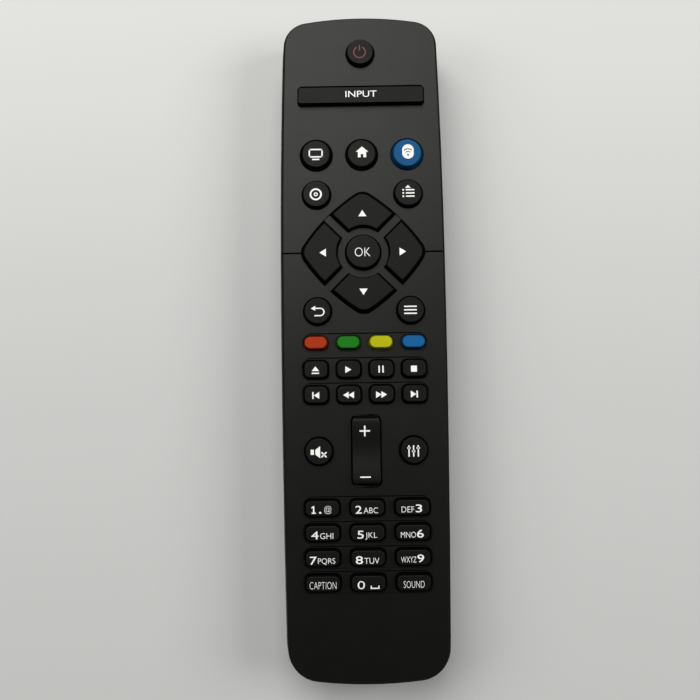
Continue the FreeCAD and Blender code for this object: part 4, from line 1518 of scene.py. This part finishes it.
def draped(piece, cap):
    """Lower a flat sign onto a cap whose top isn't level."""
    middle = sum(v.co.z for v in piece.data.vertices) / len(piece.data.vertices)
    bpy.context.view_layer.update()
    for vertex in piece.data.vertices:
        lift = sizes().print_height * (1 if vertex.co.z > middle else -1)
        over = Vector((vertex.co.x, vertex.co.y, 0.03))
        hit, place, _, _ = cap.ray_cast(over, Vector((0, 0, -1)))
        if not hit:
            raise RuntimeError("a sign lies off its key")
        vertex.co.z = place.z + lift


def laid(piece, key, x, y, z):
    """Put a flat sign on its key."""
    put(piece.data, (x, y, z))
    if key == "source_key":
        draped(piece, bpy.data.objects["source_key_cap"])
    ink = print_power if key == "power_key" else print_white
    fitted(piece, key, PAINTS.get(key, "key_black"), ink)


class REMOTE_OT_signs(Operator):
    """The printed signs, numbers and letters"""
    bl_idname = "remote.signs"
    bl_label = "Signs"

    def execute(self, context):
        places = {key: (x, y, top_of(key)) for key, x, y in key_places()}
        for key, groups in SIGNS.items():
            x, y, z = places[key]
            dx, dy = NUDGES.get(key, USUAL_NUDGE)
            laid(drawn(key + "_sign", groups), key, x + dx, y + dy, z)
        for key, words in WORDS.items():
            parts = [lettered(key + "_sign", *word) for word in words]
            if key in DRAWN_WORDS:
                outline, x, y = DRAWN_WORDS[key]
                parts.append(drawn("drawn_word", apart(turned(outline, 0, x, y))))
            laid(joined(key + "_sign", parts), key, *places[key])
        for key, (x, y, turn) in ARROW_SIGNS.items():
            piece = drawn(key + "_sign", apart(pointer(0, 0, 1.95, 2.45, turn)))
            laid(piece, key, x - 0.1, PAD_Y + y - 0.2, top_of(key))
        return {"FINISHED"}


class REMOTE_OT_rocker_signs(Operator):
    """Plus and minus on the rocker, laid along its curved top"""
    bl_idname = "remote.rocker_signs"
    bl_label = "Rocker signs"

    def execute(self, context):
        cap = bpy.data.objects["volume_rocker_cap"]
        for name, (outline, y) in ROCKER_SIGNS.items():
            piece = drawn(f"volume_rocker_{name}_sign", apart(outline))
            edit(piece)
            for step in range(-6, 7):
                cut_through(step * 0.28, Y)
            rest()
            put(piece.data, (-0.4, ROCKER_Y + y, 21.0))
            draped(piece, cap)
            fitted(piece, "volume_rocker", "key_black", print_white)
        return {"FINISHED"}


# The studio, in metres

class REMOTE_OT_stage(Operator):
    """The ground, the lights and the camera"""
    bl_idname = "remote.stage"
    bl_label = "Studio"

    def execute(self, context):
        rest()
        bpy.ops.mesh.primitive_plane_add(size=6.0, location=(0, 0, 0))
        ground = bpy.context.object
        ground.name = "ground"
        ground.data.materials.append(finish_of(ground_paper))
        self.softbox("head", (-0.15, 0.44, 0.58), (0.70, 0.66), studio().key_power)
        for name, side, share in (("left", -1, 1.0), ("right", 1, 1.9)):
            place = (side * 0.62, 0.05, 0.50)
            self.softbox(name, place, (0.4, 0.4), studio().side_power * share)
        self.room()
        self.camera()
        context.scene.view_settings.view_transform = "Standard"
        return {"FINISHED"}

    def softbox(self, name, place, size, power):
        """A soft rectangular light that faces the object."""
        light = bpy.data.lights.new("softbox_" + name, "AREA")
        light.shape = "RECTANGLE"
        light.size, light.size_y = size
        light.energy = power
        light.color = (1.0, 1.0, 0.945)
        turn = (-Vector(place)).to_track_quat("-Z", "Y").to_matrix().to_4x4()
        shown("softbox_" + name, light).matrix_world = Matrix.Translation(place) @ turn

    def room(self):
        """Even light from all round, and a pale room for the camera."""
        world = bpy.data.worlds.new("studio_room")
        made = Nodes(world)
        light = made.tree.nodes["Background"]
        light.inputs["Color"].default_value = (1.0, 1.0, 1.0, 1.0)
        light.inputs["Strength"].default_value = studio().room
        walls = made.node("ShaderNodeBackground", {}, {"Color": (0.62, 0.62, 0.61, 1.0)})
        seen = made.node("ShaderNodeLightPath", output="Is Camera Ray")
        made.close(walls, "Background", seen, "World Output")
        bpy.context.scene.world = world

    def camera(self):
        """The camera over the keys, a little to the tail and to the left."""
        lens = bpy.data.cameras.new("camera")
        lens.sensor_width = 36.0
        lens.lens = 38.06
        eye = shown("camera", lens)
        eye.matrix_world = Matrix((
            (0.99988986, 0.01448746, 0.00322198, -0.00369),
            (-0.01410063, 0.99505606, -0.09830876, -0.02575),
            (-0.00463029, 0.09825250, 0.99515075, 0.23877),
            (0.0, 0.0, 0.0, 1.0)))
        bpy.context.scene.camera = eye


OPERATORS = (
    REMOTE_OT_front_cover, REMOTE_OT_rear_cover, REMOTE_OT_battery_door, REMOTE_OT_infrared_window,
    REMOTE_OT_round_keys, REMOTE_OT_slab_keys, REMOTE_OT_arrow_keys, REMOTE_OT_source_key,
    REMOTE_OT_volume_rocker, REMOTE_OT_signs, REMOTE_OT_rocker_signs, REMOTE_OT_rubber_mat,
    REMOTE_OT_board, REMOTE_OT_board_parts, REMOTE_OT_cells, REMOTE_OT_contacts,
    REMOTE_OT_case_screws, REMOTE_OT_stage,
)


class REMOTE_PT_panel(Panel):
    """Colours, sizes, light and the steps that make the remote"""
    bl_idname = "REMOTE_PT_panel"
    bl_label = "Remote control"
    bl_space_type = "VIEW_3D"
    bl_region_type = "UI"
    bl_category = "Remote"

    def draw(self, context):
        for title, group in (("Colours", colours()), ("Sizes", sizes()), ("Studio", studio())):
            box = self.layout.box()
            box.label(text=title)
            for name in group.__annotations__:
                box.prop(group, name)
        for operator in OPERATORS:
            self.layout.operator(operator.bl_idname)


GROUPS = {
    "remote_colours": RemoteColours, "remote_sizes": RemoteSizes, "remote_studio": RemoteStudio,
}


def register():
    for name, group in GROUPS.items():
        bpy.utils.register_class(group)
        setattr(bpy.types.Scene, name, PointerProperty(type=group))
    for operator in OPERATORS:
        bpy.utils.register_class(operator)
    bpy.utils.register_class(REMOTE_PT_panel)


def unregister():
    bpy.utils.unregister_class(REMOTE_PT_panel)
    for operator in reversed(OPERATORS):
        bpy.utils.unregister_class(operator)
    for name, group in reversed(GROUPS.items()):
        delattr(bpy.types.Scene, name)
        bpy.utils.unregister_class(group)


def main():
    register()
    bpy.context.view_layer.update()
    for operator in OPERATORS:
        family, name = operator.bl_idname.split(".")
        getattr(getattr(bpy.ops, family), name)()


if __name__ == "__main__":
    main()
